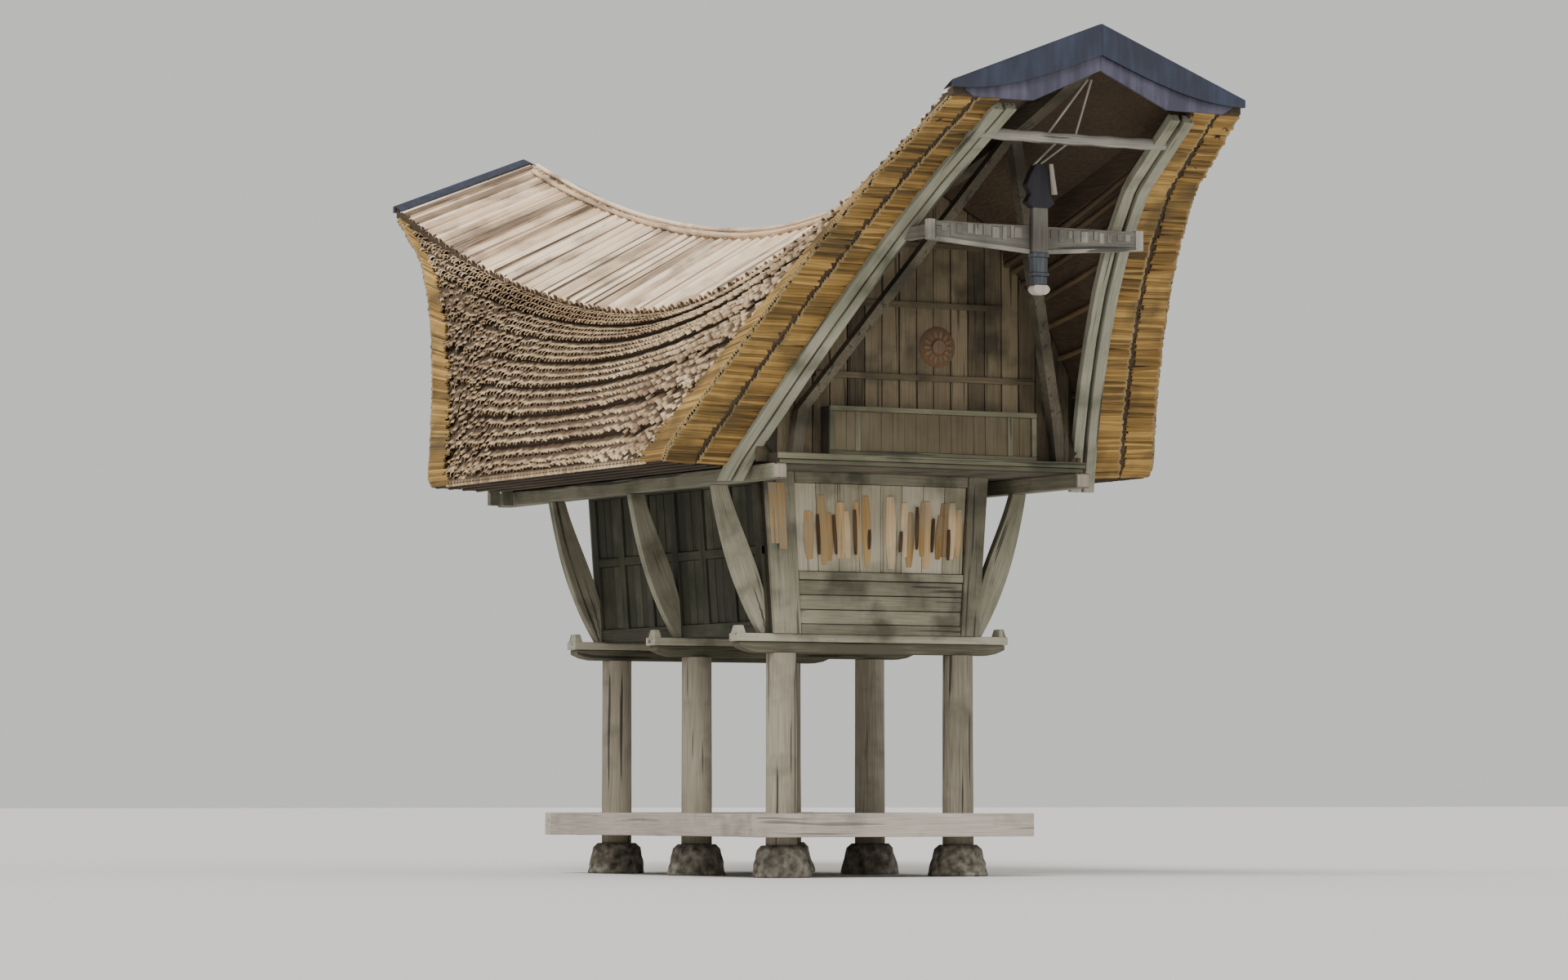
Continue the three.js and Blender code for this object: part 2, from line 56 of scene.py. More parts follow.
# Where each light comes from, its strength, and the angle that it spreads over
SUNS = {"key": ((-5.5, -4.0, 7.5), 2.7, 25), "fill": ((5.0, -7.0, 3.0), 0.8, 80)}


def linear(code):
    """An sRGB hex colour as linear values, with full alpha."""
    parts = [int(code[start:start + 2], 16) / 255 for start in (1, 3, 5)]
    return [p / 12.92 if p <= 0.04045 else ((p + 0.055) / 1.055) ** 2.4 for p in parts] + [1.0]


def new_material(name, roughness, colour=None):
    material = bpy.data.materials.new(name)
    material.use_nodes = True
    shader = material.node_tree.nodes["Principled BSDF"]
    shader.inputs["Roughness"].default_value = roughness
    if colour:
        shader.inputs["Base Color"].default_value = linear(colour)
    return material


def new_object(name, data):
    made = bpy.data.objects.new(name, data)
    bpy.context.collection.objects.link(made)
    return made


floor_shape = bmesh.new()
bmesh.ops.create_grid(floor_shape, x_segments=1, y_segments=1, size=FLOOR_SIZE / 2)
floor_mesh = bpy.data.meshes.new("floor_plane")
floor_shape.to_mesh(floor_mesh)
floor_shape.free()
floor_mesh.materials.append(new_material("pale_matt_floor", 0.9, "#DAD8D3"))
floor_plane = new_object("floor_plane", floor_mesh)

camera_data = bpy.data.cameras.new("camera")
camera_data.lens = LENS_MM
camera_data.sensor_width = SENSOR_MM
camera_data.clip_end = 2 * FLOOR_SIZE
camera = new_object("camera", camera_data)
camera.location = CAMERA_PLACE
camera.rotation_euler = (CAMERA_AIM - CAMERA_PLACE).to_track_quat("-Z", "Y").to_euler()
bpy.context.scene.camera = camera

for sun_name, (source, strength, spread) in SUNS.items():
    light_data = bpy.data.lights.new("light_" + sun_name, "SUN")
    light_data.energy = strength
    light_data.angle = radians(spread)
    light = new_object("light_" + sun_name, light_data)
    light.rotation_euler = Vector(source).to_track_quat("Z", "Y").to_euler()
world = bpy.data.worlds.new("overcast")
world.use_nodes = True
sky = world.node_tree.nodes["Background"]
sky.inputs["Color"].default_value = linear("#ECECEA")
sky.inputs["Strength"].default_value = SKY_STRENGTH
bpy.context.scene.world = world


# Flanks of the roof
# Split bamboo canes laid in courses down the steep sides and tied to laths. Only their butts
# show, as rows of flattened ends that jut out over the row below and fray near the verges.
#
# The slopes follow the curves of the construction. A place in one is given by "t", from -1 at
# the front end to 1 at the back end, "down", from 0 at the top strip to 1 at the eave, and
# "depth", from 0 at the outer face to 1 at the inner face.
ROOF_HALF_LENGTH = 5.77
CURVE_POWER = 1.8
RIDGE_LOW, RIDGE_RISE = 6.27, 1.29
EDGE_LOW, EDGE_RISE = 5.5, 1.48
STRIP_HALF_MIDDLE, STRIP_HALF_TIPS = 1.3, 1.5
STRIP_THICK, STRIP_OVERHANG = 0.11, 0.02
EAVE = Vector((2.64, 2.47, 3.83))
EAVE_LIP = 0.03
SPREAD_POWER, FALL_POWER = 1.42, 2.35
COURSES = 7
COURSE_FEET = [(course / COURSES) ** 0.62 for course in range(COURSES + 1)]
SLOPE_THICK_HEAD, SLOPE_THICK_FOOT = 0.48, 0.69
# The sign of x on each side
SIDES = {"left": -1, "right": 1}

CANE_RADIUS, CANE_WALL, CANE_LENGTH = 0.031, 0.009, 0.15
CANE_FACETS = 5
ROWS_IN_COURSE = 3
COURSE_STEP, COURSE_STAND = 0.045, 0.020
COURSE_LEAN = radians(22)
BUTT_PITCH = 0.070
BUTT_WIDE, BUTT_FLAT = 1.45, 0.66
RIM_BUTT_WIDE = 0.80
FRAY_LEAST, FRAY_MORE = 0.2, 1.1
SLIP, LEAN_SPREAD, TURN_SPREAD, STAND_SPREAD = 0.016, 0.12, 0.30, 0.014
EAVE_FRINGE, FRINGE_LENGTH, FRINGE_SPREAD = Vector((-0.022, 0, -0.028)), 0.4, 0.05
BROKEN_FROM, BROKEN_SHARE, BROKEN_STRETCH, BROKEN_TONE = 0.45, 1.8, (0.6, 0.7, 0.6), 0.6
RIM_WRAP_HEAD, RIM_WRAP_FOOT = 0.20, 0.42


def mix(a, b, share):
    return a + (b - a) * share


def sweep(t):
    return abs(t) ** CURVE_POWER


def ridge_z(t):
    return RIDGE_LOW + RIDGE_RISE * sweep(t)


def strip_half(t):
    return mix(STRIP_HALF_MIDDLE, STRIP_HALF_TIPS, sweep(t))


def strip_top(t, x):
    return mix(ridge_z(t), EDGE_LOW + EDGE_RISE * sweep(t), abs(x) / strip_half(t))


def verge_y(down):
    return mix(ROOF_HALF_LENGTH, EAVE.y, down)


def slope_foot(t, course, depth):
    """A point at the foot of one course of the right-hand slope."""
    down = COURSE_FEET[course]
    y = t * verge_y(down)
    along = y / ROOF_HALF_LENGTH
    x = strip_half(along) - STRIP_OVERHANG
    z = strip_top(along, x) - STRIP_THICK
    point = Vector((mix(x, EAVE.x, down ** SPREAD_POWER), y, mix(z, EAVE.z, down ** FALL_POWER)))
    return point - Vector((mix(SLOPE_THICK_HEAD, SLOPE_THICK_FOOT, down), 0, EAVE_LIP * down)) * depth


def slope_point(t, down, depth=0.0):
    """A point in the right-hand slope, which is straight from course to course."""
    course = next((number for number in range(1, COURSES) if down <= COURSE_FEET[number]), COURSES)
    above, below = COURSE_FEET[course - 1], COURSE_FEET[course]
    share = (down - above) / (below - above)
    return slope_foot(t, course - 1, depth).lerp(slope_foot(t, course, depth), share)


def slope_axes(t, down):
    """The directions along a course, down the slope and straight out of it."""
    ahead = (slope_point(t + 0.01, down) - slope_point(t - 0.01, down)).normalized()
    fall = (slope_point(t, down) - slope_point(t, down - 0.04)).normalized()
    out = ahead.cross(fall).normalized()
    return ahead, fall, out if out.x > 0 else -out


def set_inside_eave(point, margin):
    """Moves a point in, so that a cane around it stays within the eave."""
    point.x = min(point.x, EAVE.x - margin)
    return point


def evenly(curve, low, high, pitch):
    """Values from low to high at which the points of a curve lie about one pitch apart."""
    values = np.linspace(low, high, 301)
    points = np.array([curve(float(value)) for value in values])
    travelled = np.append(0, np.linalg.norm(np.diff(points, axis=0), axis=1).cumsum())
    count = max(1, round(travelled[-1] / pitch))
    return np.interp(np.linspace(0, travelled[-1], count + 1), travelled, values).tolist()


def mirrored(point, sign, end_sign):
    return Vector((sign * point.x, end_sign * point.y, point.z))


def split_cane(radius, wall, length, facets):
    """Half a cane along X, from x = -length to 0, with its hollow side down."""
    shape = bmesh.new()
    lay_down = Matrix.Translation((-length / 2, 0, 0)) @ Matrix.Rotation(pi / 2, 4, "Y")
    bmesh.ops.create_cone(
        shape, segments=2 * facets, radius1=radius, radius2=radius, depth=length, matrix=lay_down)
    bmesh.ops.bisect_plane(
        shape, geom=shape.verts[:] + shape.edges[:] + shape.faces[:], dist=1e-5,
        plane_co=(0, 0, 0), plane_no=(0, 0, 1), clear_inner=True)
    for face in shape.faces:
        face.normal_update()
        if face.normal.z < 0:
            face.normal_flip()
    bmesh.ops.solidify(shape, geom=shape.faces[:], thickness=wall)
    bmesh.ops.recalc_face_normals(shape, faces=shape.faces)
    # Solidify adds its faces in no fixed order, so they are sorted by where they lie
    shape.faces.sort(key=lambda face: face.calc_center_median().dot((100, 10, 1)))
    shape.verts.index_update()
    return shape


def cane_place(tip, along, up, stretch, sign=1, end_sign=1):
    """Places a stretched cane by its tip, with its round side up, on one side and end of the house."""
    tip, along, up = (mirrored(vector, sign, end_sign) for vector in (tip, along, up))
    along = along.normalized()
    across = up.cross(along).normalized()
    turned = Matrix((along, across, along.cross(across))).transposed().to_4x4()
    return Matrix.Translation(tip) @ turned @ Matrix.Diagonal((*stretch, 1))


def some_tone(place, spread=0.2, middle=0.5):
    """A tone for a piece, alike for neighbours, with some chance in it."""
    return min(1.0, max(0.0, middle + 0.5 * noise.noise(place) + gauss(0, spread)))


def set_piece(name, mesh, material, bevel=0.0, smooth=0, replaces=()):
    """Makes a mesh one piece of the house, which rides on its one body."""
    if smooth:
        mesh.polygons.foreach_set("use_smooth", [True] * len(mesh.polygons))
        mesh.set_sharp_from_angle(angle=radians(smooth))
    mesh.materials.append(material)
    piece = new_object(name, mesh)
    if bevel:
        edge = piece.modifiers.new("worn_edges", "BEVEL")
        edge.width = bevel
        edge.segments = 2
        edge.limit_method = "ANGLE"
        edge.angle_limit = radians(50)
    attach(piece, "root")
    if replaces:
        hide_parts(*replaces)


def set_copies(name, template, places, material):
    """Makes a piece of many copies of one shape. Each has a matrix and a tone from 0 to 1."""
    corners = np.array([vert.co for vert in template.verts])
    faces = [[vert.index for vert in face.verts] for face in template.faces]
    points, polygons, tones, grain = [], [], [], []
    for number, (matrix, tone) in enumerate(places):
        turn = np.array(matrix.to_3x3())
        points.append(corners @ turn.T + np.array(matrix.translation))
        grain.append(corners * np.linalg.norm(turn, axis=0) + [0, random() * 30, random() * 30])
        polygons.extend([index + number * len(corners) for index in face] for face in faces)
        tones.extend([tone] * len(faces))
    mesh = bpy.data.meshes.new(name)
    mesh.from_pydata(np.concatenate(points).tolist(), [], polygons)
    mesh.attributes.new("tone", "FLOAT", "FACE").data.foreach_set("value", tones)
    laid = mesh.attributes.new("grain", "FLOAT_VECTOR", "POINT")
    laid.data.foreach_set("vector", np.concatenate(grain).ravel())
    set_piece(name, mesh, material, smooth=50)


def coat_node(material, *names):
    """Gives nodes of the construction, which stay as they are, a better material."""
    for name in names:
        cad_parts[name].material_slots[0].material = material


def add_node(material, kind, links=None, inputs=None, stops=(), output=0, **settings):
    """Adds a node with its settings, input values, ramp stops and links, and gives one output."""
    made = material.node_tree.nodes.new("ShaderNode" + kind)
    for key, value in settings.items():
        setattr(made, key, value)
    for socket, value in (inputs or {}).items():
        made.inputs[socket].default_value = value
    if stops:
        ramp = made.color_ramp
        for spot, (place, colour) in enumerate(stops):
            stop = ramp.elements[spot] if spot < 2 else ramp.elements.new(place)
            stop.position = place
            stop.color = linear(colour)
    for socket, source in (links or {}).items():
        material.node_tree.links.new(source, made.inputs[socket])
    return made.outputs[output]


def set_surface(material, colour, height, strength, deep):
    """Gives a material its colour, and a relief that is some metres deep."""
    shader = material.node_tree.nodes["Principled BSDF"]
    relief = add_node(material, "Bump", {"Height": height}, {"Strength": strength, "Distance": deep})
    material.node_tree.links.new(colour, shader.inputs["Base Color"])
    material.node_tree.links.new(relief, shader.inputs["Normal"])
    return material


def grained(name, pale, middle, dark, roughness, fibre_mm, bump_mm, along=None, crack=0.0, stain=None,
            tips=None):
    """Wood or cane: fibres, a tone for each board, stains, drying cracks, and a colour set by the distance
    from a cane's tip: pale worn tips on the rim, painted shade behind the tips on the flanks.

    The fibres follow the grain that the board was given, or one of the house's axes. The
    patches and stains are half a metre to a metre wide, and the cracks are about 45 mm apart.
    """
    material = new_material(name, roughness)
    add = partial(add_node, material)
    place = add("TexCoord", output="Object")
    own = add("Attribute", attribute_name="grain", output="Vector")
    laid = place if along else own
    axis = "XYZ".index(along or "X")
    fine, coarse = [1000 / fibre_mm] * 3, [22.0] * 3
    fine[axis], coarse[axis] = 2.5, 0.7
    fibre_place = add("Mapping", {"Vector": laid}, {"Scale": fine})
    fibres = add("TexNoise", {"Vector": fibre_place}, {"Scale": 1.0, "Detail": 4.0})
    patches = add("TexNoise", {"Vector": place}, {"Scale": 1.1, "Detail": 6.0})
    total = add("Math", {0: fibres, 1: patches}, operation="ADD")
    if along:
        total = add("Math", {0: total}, {1: 0.5}, operation="ADD")
    else:
        tone = add("Attribute", attribute_name="tone", output="Fac")
        total = add("Math", {0: total, 1: tone}, operation="ADD")
    share = add("Math", {0: total}, {1: 3.0}, operation="DIVIDE")
    colour = add("ValToRGB", {"Fac": share}, stops=((0.32, dark), (0.68, pale), (0.5, middle)))
    height = fibres
    if tips:
        # The last colour blends in by the distance from the tip: pale tips on the rim, painted shade further
        # in on the flank butts
        far = add("SeparateXYZ", {"Vector": own})
        near = add("MapRange", {"Value": far}, {"From Min": tips[0], "From Max": tips[1]})
        colour = add("Mix", {0: near, 7: colour}, {6: linear(tips[2])}, data_type="RGBA", output=2)
    if stain:
        wet = add("TexNoise", {"Vector": place}, {"Scale": 2.3, "Detail": 7.0})
        wet = add("MapRange", {"Value": wet}, {
            "From Min": stain[1] - 0.1, "From Max": stain[1] + 0.1, "To Max": 0.75})
        colour = add("Mix", {0: wet, 6: colour}, {7: linear(stain[0])}, data_type="RGBA", output=2)
    if crack:
        crack_place = add("Mapping", {"Vector": laid}, {"Scale": coarse})
        split = add("TexNoise", {"Vector": crack_place}, {"Scale": 1.0, "Detail": 2.0})
        split = add("MapRange", {"Value": split}, {"From Min": 0.62, "From Max": 0.66, "To Max": crack})
        colour = add("Mix", {0: split, 6: colour}, {7: linear("#1D1A15")}, data_type="RGBA", output=2)
        height = add("Math", {0: height, 1: split}, operation="SUBTRACT")
    return set_surface(material, colour, height, 0.7, bump_mm / 1000)


# Dry tan canes, darker brown further in from the tip as painted shade of the course above, and less bleached
# where sheltered: a matt, broken surface
brown_cane = grained(
    "weathered_split_bamboo_butts", "#D6C09C", "#B39A77", "#856B54", 0.9, 9, 2,
    tips=(-0.062, -0.026, "#5A4734"))
# The imported courses behind the butts and under the top strip, painted deep brown as the shade between the
# rows and canes, and hardly lit
packed_cane = grained("packed_bamboo_courses", "#64533F", "#483A2B", "#2A2118", 0.95, 14, 4, along="Y")
coat_node(packed_cane, "roof_left", "roof_right", "roof_saddle")

butt = split_cane(CANE_RADIUS, CANE_WALL, CANE_LENGTH, CANE_FACETS)
rows = COURSES * ROWS_IN_COURSE
for side, sign in SIDES.items():
    places = []
    for row in (0.5, *range(1, rows), rows - 0.45, rows):
        level = float(np.interp(row / ROWS_IN_COURSE, range(COURSES + 1), COURSE_FEET))
        sunk = COURSE_STEP * (-row % ROWS_IN_COURSE) / ROWS_IN_COURSE if row > ROWS_IN_COURSE else 0.0
        end = 1 - (mix(RIM_WRAP_HEAD, RIM_WRAP_FOOT, level) - 0.05) / verge_y(level)
        for t in evenly(lambda t: slope_point(t, level), -end, end, BUTT_PITCH):
            fray = FRAY_LEAST + FRAY_MORE * abs(t) ** 2.5
            wide = mix(BUTT_WIDE, RIM_BUTT_WIDE, abs(t) ** 3) * uniform(0.8, 1.2)
            down = min(1.0, level + uniform(-SLIP, SLIP) * fray)
            ahead, fall, out = slope_axes(t, down)
            lean = COURSE_LEAN + gauss(0, LEAN_SPREAD) * fray
            along = fall * cos(lean) + out * sin(lean) + ahead * gauss(0, TURN_SPREAD) * fray
            stand = COURSE_STAND - sunk + uniform(-STAND_SPREAD, STAND_SPREAD) * fray
            tip = set_inside_eave(slope_point(t, down) + out * stand, BUTT_FLAT * CANE_RADIUS)
            if row == rows:
                tip, along = slope_point(t, 1) + EAVE_FRINGE, Vector((0, gauss(0, FRINGE_SPREAD), -1))
            length = FRINGE_LENGTH if row == rows else uniform(0.85, 1.1)
            tone = some_tone(Vector((tip.y, 2 * tip.z, sign)))
            places.append((cane_place(tip, along, out, (length, wide, BUTT_FLAT), sign), tone))
            # Broken canes that lie in the gaps near the verges
            if row < rows and random() < BROKEN_SHARE * (abs(t) - BROKEN_FROM):
                row_apart = (COURSE_FEET[1] if row < ROWS_IN_COURSE else 0.1) / ROWS_IN_COURSE
                down = min(0.97, level + uniform(0.2, 0.8) * row_apart)
                ahead, fall, out = slope_axes(t, down)
                along = fall + ahead * gauss(0, 0.7) + out * 0.35
                tip = slope_point(t, down) + out * (stand - 0.004)
                places.append((cane_place(tip, along, out, BROKEN_STRETCH, sign), BROKEN_TONE * tone))
    set_copies("flank_courses_" + side, butt, places, brown_cane)
butt.free()


# Top strip of the roof
# Long split canes laid across from the ridge to the strip's edge, covers over pans. Sun and
# rain have bleached them nearly white, with pink, cream and grey streaks.
COVER_RADIUS, COVER_WALL = 0.050, 0.010
COVERS = 120
LIFT_LOW, LIFT_HIGH = -0.006, 0.014
PAN_SINK, PAN_SHORT, PAN_FLAT = 0.006, 0.02, 0.7
UNDER_SINK, UNDER_STRETCH, UNDER_TONE = 0.075, (0.4, 0.85, 0.5), 0.7
TIP_OUT = 0.045

# Bleached cane: a dry, faintly silky shell with long fibres
pale_cane = grained(
    "bleached_split_bamboo", "#FFE9CB", "#E3C7A5", "#5B4838", 0.8, 8, 1, stain=("#7F6A57", 0.6))

cover = split_cane(COVER_RADIUS, COVER_WALL, 1.0, CANE_FACETS)
places = []
for side, sign in SIDES.items():
    for number in range(2, 2 * COVERS - 1):
        t = number / COVERS - 1
        head = Vector((0, t * ROOF_HALF_LENGTH, ridge_z(t)))
        foot = Vector((sign * strip_half(t), head.y + gauss(0, 0.014), strip_top(t, strip_half(t))))
        along = (foot - head).normalized()
        up = along.cross(Vector((0, sign, 0)))
        up = up if up.z > 0 else -up
        lift = LIFT_LOW if number % 4 else LIFT_HIGH
        tone = some_tone(Vector((t * 9, sign * 3, 0)), spread=0.36, middle=0.62)
        reach = (foot - head).length + TIP_OUT * (1 - t * t) + uniform(-0.012, 0.008)
        if number % 2:
            pan = head + along * (reach - PAN_SHORT) + up * (lift - PAN_SINK)
            places.append((cane_place(pan, along, -up, (reach, 1, PAN_FLAT)), tone))
        else:
            under = head + along * (reach - uniform(0.02, 0.05)) + up * (lift - UNDER_SINK)
            places.append((cane_place(under, along, up, UNDER_STRETCH), UNDER_TONE * tone))
            tip = head + along * reach + up * (lift - COVER_RADIUS)
            places.append((cane_place(tip, along, up, (reach, 1, 1)), tone))
set_copies("top_strip_canes", cover, places, pale_cane)
cover.free()


# Ridge poles
# Thin bamboo poles tied along the ridge over the heads of the canes, in lengths that lap.
RIDGE_POLE_RADIUS = 0.024
RIDGE_POLE_OFFSETS = (-0.075, 0.0, 0.075)
RIDGE_POLE_RUNS = ((-0.93, -0.30), (-0.36, 0.37), (0.31, 0.93))


def new_shape():
    """An empty shape that keeps the grain of its boards and a tone for each of them."""
    shape = bmesh.new()
    shape.verts.layers.float_vector.new("grain")
    shape.faces.layers.float.new("tone")
    return shape


def work(shape, verts, place, size, cuts, tone):
    """Cuts a unit block across its length, puts its corners in place and keeps its grain."""
    if cuts:
        edges = dict.fromkeys(edge for vert in verts for edge in vert.link_edges)
        edges = [edge for edge in edges if abs(edge.verts[0].co.x - edge.verts[1].co.x) > 0.5]
        cut = bmesh.ops.subdivide_edges(shape, edges=edges, cuts=cuts)["geom_inner"]
        verts = [part for part in cut if isinstance(part, bmesh.types.BMVert)]
        verts = dict.fromkeys(end for vert in verts for edge in vert.link_edges for end in edge.verts)
    faces = dict.fromkeys(face for vert in verts for face in vert.link_faces)
    grain = shape.verts.layers.float_vector["grain"]
    shade = shape.faces.layers.float["tone"]
    start = Vector((uniform(0, 30), uniform(0, 30), uniform(0, 30)))
    for vert in verts:
        along, across, through = vert.co
        vert[grain] = start + Vector((along * size[0], across * size[1], through * size[2]))
        vert.co = place(along, across, through)
    tone = min(1.0, max(0.0, gauss(0.5, 0.18))) if tone is None else tone
    for face in faces:
        face[shade] = tone
    bmesh.ops.recalc_face_normals(shape, faces=list(faces))


def board(shape, place, size, cuts=0, tone=None):
    """Adds a board. Its place is a function of the shares along, across and through it."""
    made = bmesh.ops.create_cube(shape, size=1, matrix=Matrix.Translation((0.5, 0.5, 0.5)))
    work(shape, made["verts"], place, size, cuts, tone)


def round_bar(shape, place, size, sides, cuts=0, tone=None):
    """Adds a round bar. Across and through, its shares run from -1 to 1."""
    lay_down = Matrix.Translation((0.5, 0, 0)) @ Matrix.Rotation(pi / 2, 4, "Y")
    made = bmesh.ops.create_cone(
        shape, cap_ends=True, segments=sides, radius1=1, radius2=1, depth=1, matrix=lay_down)
    work(shape, made["verts"], place, size, cuts, tone)


def pole(shape, line, radius, length, cuts, sides=8, knots=0, tone=None):
    """Adds a pole along a line, which is a function of the share of its length."""
    def place(along, across, through):
        ahead = (line(along + 0.01) - line(along - 0.01)).normalized()
        side = ahead.cross(Vector((0.01, 0.02, 1))).normalized()
        swell = radius * (1 + (0.08 * cos(2 * pi * knots * along) if knots else 0))
        return line(along) + (side * across + side.cross(ahead) * through) * swell
    round_bar(shape, place, (length, radius, radius), sides, cuts, tone)


def finish(name, shape, material, bevel=0.0, smooth=0, replaces=()):
    """Turns a worked shape into a piece of the house."""
    mesh = bpy.data.meshes.new(name)
    shape.to_mesh(mesh)
    shape.free()
    set_piece(name, mesh, material, bevel, smooth, replaces)


poles = new_shape()
for offset in RIDGE_POLE_OFFSETS:
    for start, end in RIDGE_POLE_RUNS:
        lap = uniform(-0.02, 0.02)

        def along_ridge(share):
            t = mix(start, end, share) + lap
            rise = LIFT_HIGH * (1 - abs(t)) + RIDGE_POLE_RADIUS * (1.1 if offset else 1.6)
            x = offset + 0.012 * sin(9 * t + offset * 40)
            return Vector((x, t * ROOF_HALF_LENGTH, strip_top(t, offset) + rise))

        pole(poles, along_ridge, RIDGE_POLE_RADIUS, 3.8, cuts=25, knots=9)
finish("ridge_poles", poles, pale_cane, smooth=60)


# Rim of the roof
# The cut ends of the roof are bound with short split canes, packed one on the other in two
# bands with a groove between, and wrapped round the corner on to the flank.
RIM_RADIUS, RIM_WALL, RIM_FACETS = 0.021, 0.008, 4
RIM_PITCH = 0.031
RIM_BANDS = ((0.0, 0.46), (0.52, 0.97))
RIM_WRAP_OUT = 0.014
RIM_HEAD_Z = 6.86
# The sign of y at each end
ENDS = {"front": -1, "back": 1}

# Golden tan cane out of the rain, with pale broken tips
rim_cane = grained(
    "tan_split_bamboo_rim", "#C29C58", "#8E6D36", "#4B3918", 0.88, 8, 2, stain=("#57482B", 0.58),
    tips=(-0.002, -0.030, "#A08A62"))


def verge_out(down):
    """The direction straight out of the verge face, for the back end."""
    fall = slope_point(1, down + 0.01) - slope_point(1, down)
    return Vector((0, -fall.z, fall.y)).normalized()


slat = split_cane(RIM_RADIUS, RIM_WALL, 1.0, RIM_FACETS)
rims = evenly(lambda down: slope_point(1, down), 0, 1, RIM_PITCH)
for end, end_sign in ENDS.items():
    places = []
    for sign in SIDES.values():
        for down in rims:
            out = verge_out(down)
            ahead, fall, aside = slope_axes(1, down)
            for first, last in RIM_BANDS:
                fringe = uniform(0.0, 0.035) if first == 0 else uniform(-0.01, 0.01)
                tip = slope_point(1, down, first) + out * uniform(-0.004, 0.006)
                tip = set_inside_eave(tip + Vector((fringe, 0, gauss(0, 0.003))), RIM_RADIUS)
                if tip.z > RIM_HEAD_Z:
                    continue
                back = slope_point(1, down, last) - slope_point(1, down, first)
                along = -back + Vector((0, 0, gauss(-0.004, 0.008)))
                tone = some_tone(Vector((tip.z * 3, first, sign)), spread=0.22)
                places.append((cane_place(tip, along, out, (back.length, 1, 1), sign, end_sign), tone))
            length = mix(RIM_WRAP_HEAD, RIM_WRAP_FOOT, down) * uniform(0.8, 1.15)
            tip = slope_point(1, down) + aside * RIM_WRAP_OUT + ahead * uniform(0.0, 0.02)
            tip = set_inside_eave(tip, RIM_RADIUS)
            tone = some_tone(Vector((tip.z * 3, 5, sign)), spread=0.22)
            if tip.z < RIM_HEAD_Z:
                places.append((cane_place(tip, ahead, aside, (length, 1, 1), sign, end_sign), tone))
    set_copies("roof_rim_" + end, slat, places, rim_cane)
slat.free()


# Ridge caps
# A blue-black painted sheet folded over each end of the ridge, with a faded plank below it.
CAP_BACK, CAP_FACE = 5.772, 5.83
CAP_HALF = 1.515
CAP_PROUD = 0.02
CAP_DEEP, CAP_TIP_DEEP = 0.28, 0.07
FASCIA_FACE = 5.80
FASCIA_FOOT, FASCIA_MIDDLE = 6.855, 7.165
FASCIA_KNEE, FASCIA_HALF, FASCIA_WING = 0.7, 1.29, 0.1
FLANGE_LONG, FLANGE_LOW = 0.2, 0.012


def painted(name, coat, worn, roughness, wear_level=0.6, streak_mm=30):
    """Old paint: the coat's colour, faded in streaks and in patches a third of a metre wide."""
    material = new_material(name, roughness)
    add = partial(add_node, material)
    place = add("TexCoord", output="Object")
    across = 1000 / streak_mm
    laid = add("Mapping", {"Vector": place}, {"Scale": (across, across, 2.0)})
    streaks = add("TexNoise", {"Vector": laid}, {"Scale": 1.0, "Detail": 4.0})
    patches = add("TexNoise", {"Vector": place}, {"Scale": 3.0, "Detail": 8.0})
    total = add("Math", {0: streaks, 1: patches}, operation="ADD")
    share = add("MapRange", {"Value": total}, {
        "From Min": 2 * wear_level - 0.35, "From Max": 2 * wear_level + 0.25})
    colour = add("Mix", {0: share}, {6: linear(coat), 7: linear(worn)}, data_type="RGBA", output=2)
    return set_surface(material, colour, total, 0.4, 0.002)


# Sheet metal with old blue-black gloss paint, chalky where the sun reaches it
cap_paint = painted("blue_black_painted_sheet", "#171D2F", "#2D3850", 0.5, 0.62, 60)
# A plank under thin purple-grey paint
fascia_paint = painted("purple_grey_painted_plank", "#3B394A", "#5D5A6C", 0.75, 0.58, 60)


def cap_top(x):
    return strip_top(1, x) + CAP_PROUD


def cap_low(x):
    return cap_top(x) - mix(CAP_DEEP, CAP_TIP_DEEP, (abs(x) / CAP_HALF) ** 3)


def finish_all(end, pieces, replaces=()):
    """Finishes like pieces, each given by its name, shape, material, bevel and smooth angle."""
    for name, shape, material, bevel, smooth in pieces:
        finish(name + "_" + end, shape, material, bevel, smooth, replaces)


for end, end_sign in ENDS.items():
    cap = new_shape()
    fascia = new_shape()
    for sign in SIDES.values():
        def on_band(along, across, through):
            x = along * CAP_HALF
            z = mix(cap_low(x), cap_top(x), across)
            return mirrored(Vector((x, mix(CAP_BACK, CAP_FACE, through), z)), sign, end_sign)

        def on_flange(along, across, through):
            x, y = across * CAP_HALF, CAP_FACE - along * FLANGE_LONG
            z = strip_top(min(1, y / ROOF_HALF_LENGTH), x) + mix(FLANGE_LOW, CAP_PROUD, through)
            return mirrored(Vector((x, y, z)), sign, end_sign)

        def on_fascia(along, across, through):
            x = along * (FASCIA_HALF + FASCIA_WING)
            low = mix(FASCIA_MIDDLE, FASCIA_FOOT, min(1, x / FASCIA_KNEE)) + max(0, x - FASCIA_HALF) * 0.6
            z = mix(low, cap_low(x) + 0.03, across)
            return mirrored(Vector((x, mix(CAP_BACK, FASCIA_FACE, through), z)), sign, end_sign)

        board(cap, on_band, (1.5, 0.3, 0.05), cuts=9)
        board(cap, on_flange, (0.2, 1.5, 0.01), cuts=3)
        board(fascia, on_fascia, (1.4, 0.2, 0.03), cuts=13)
    finish_all(end, (
        ("ridge_cap_sheet", cap, cap_paint, 0.006, 0),
        ("ridge_cap_fascia", fascia, fascia_paint, 0.004, 0)), ["ridge_cap_" + end])


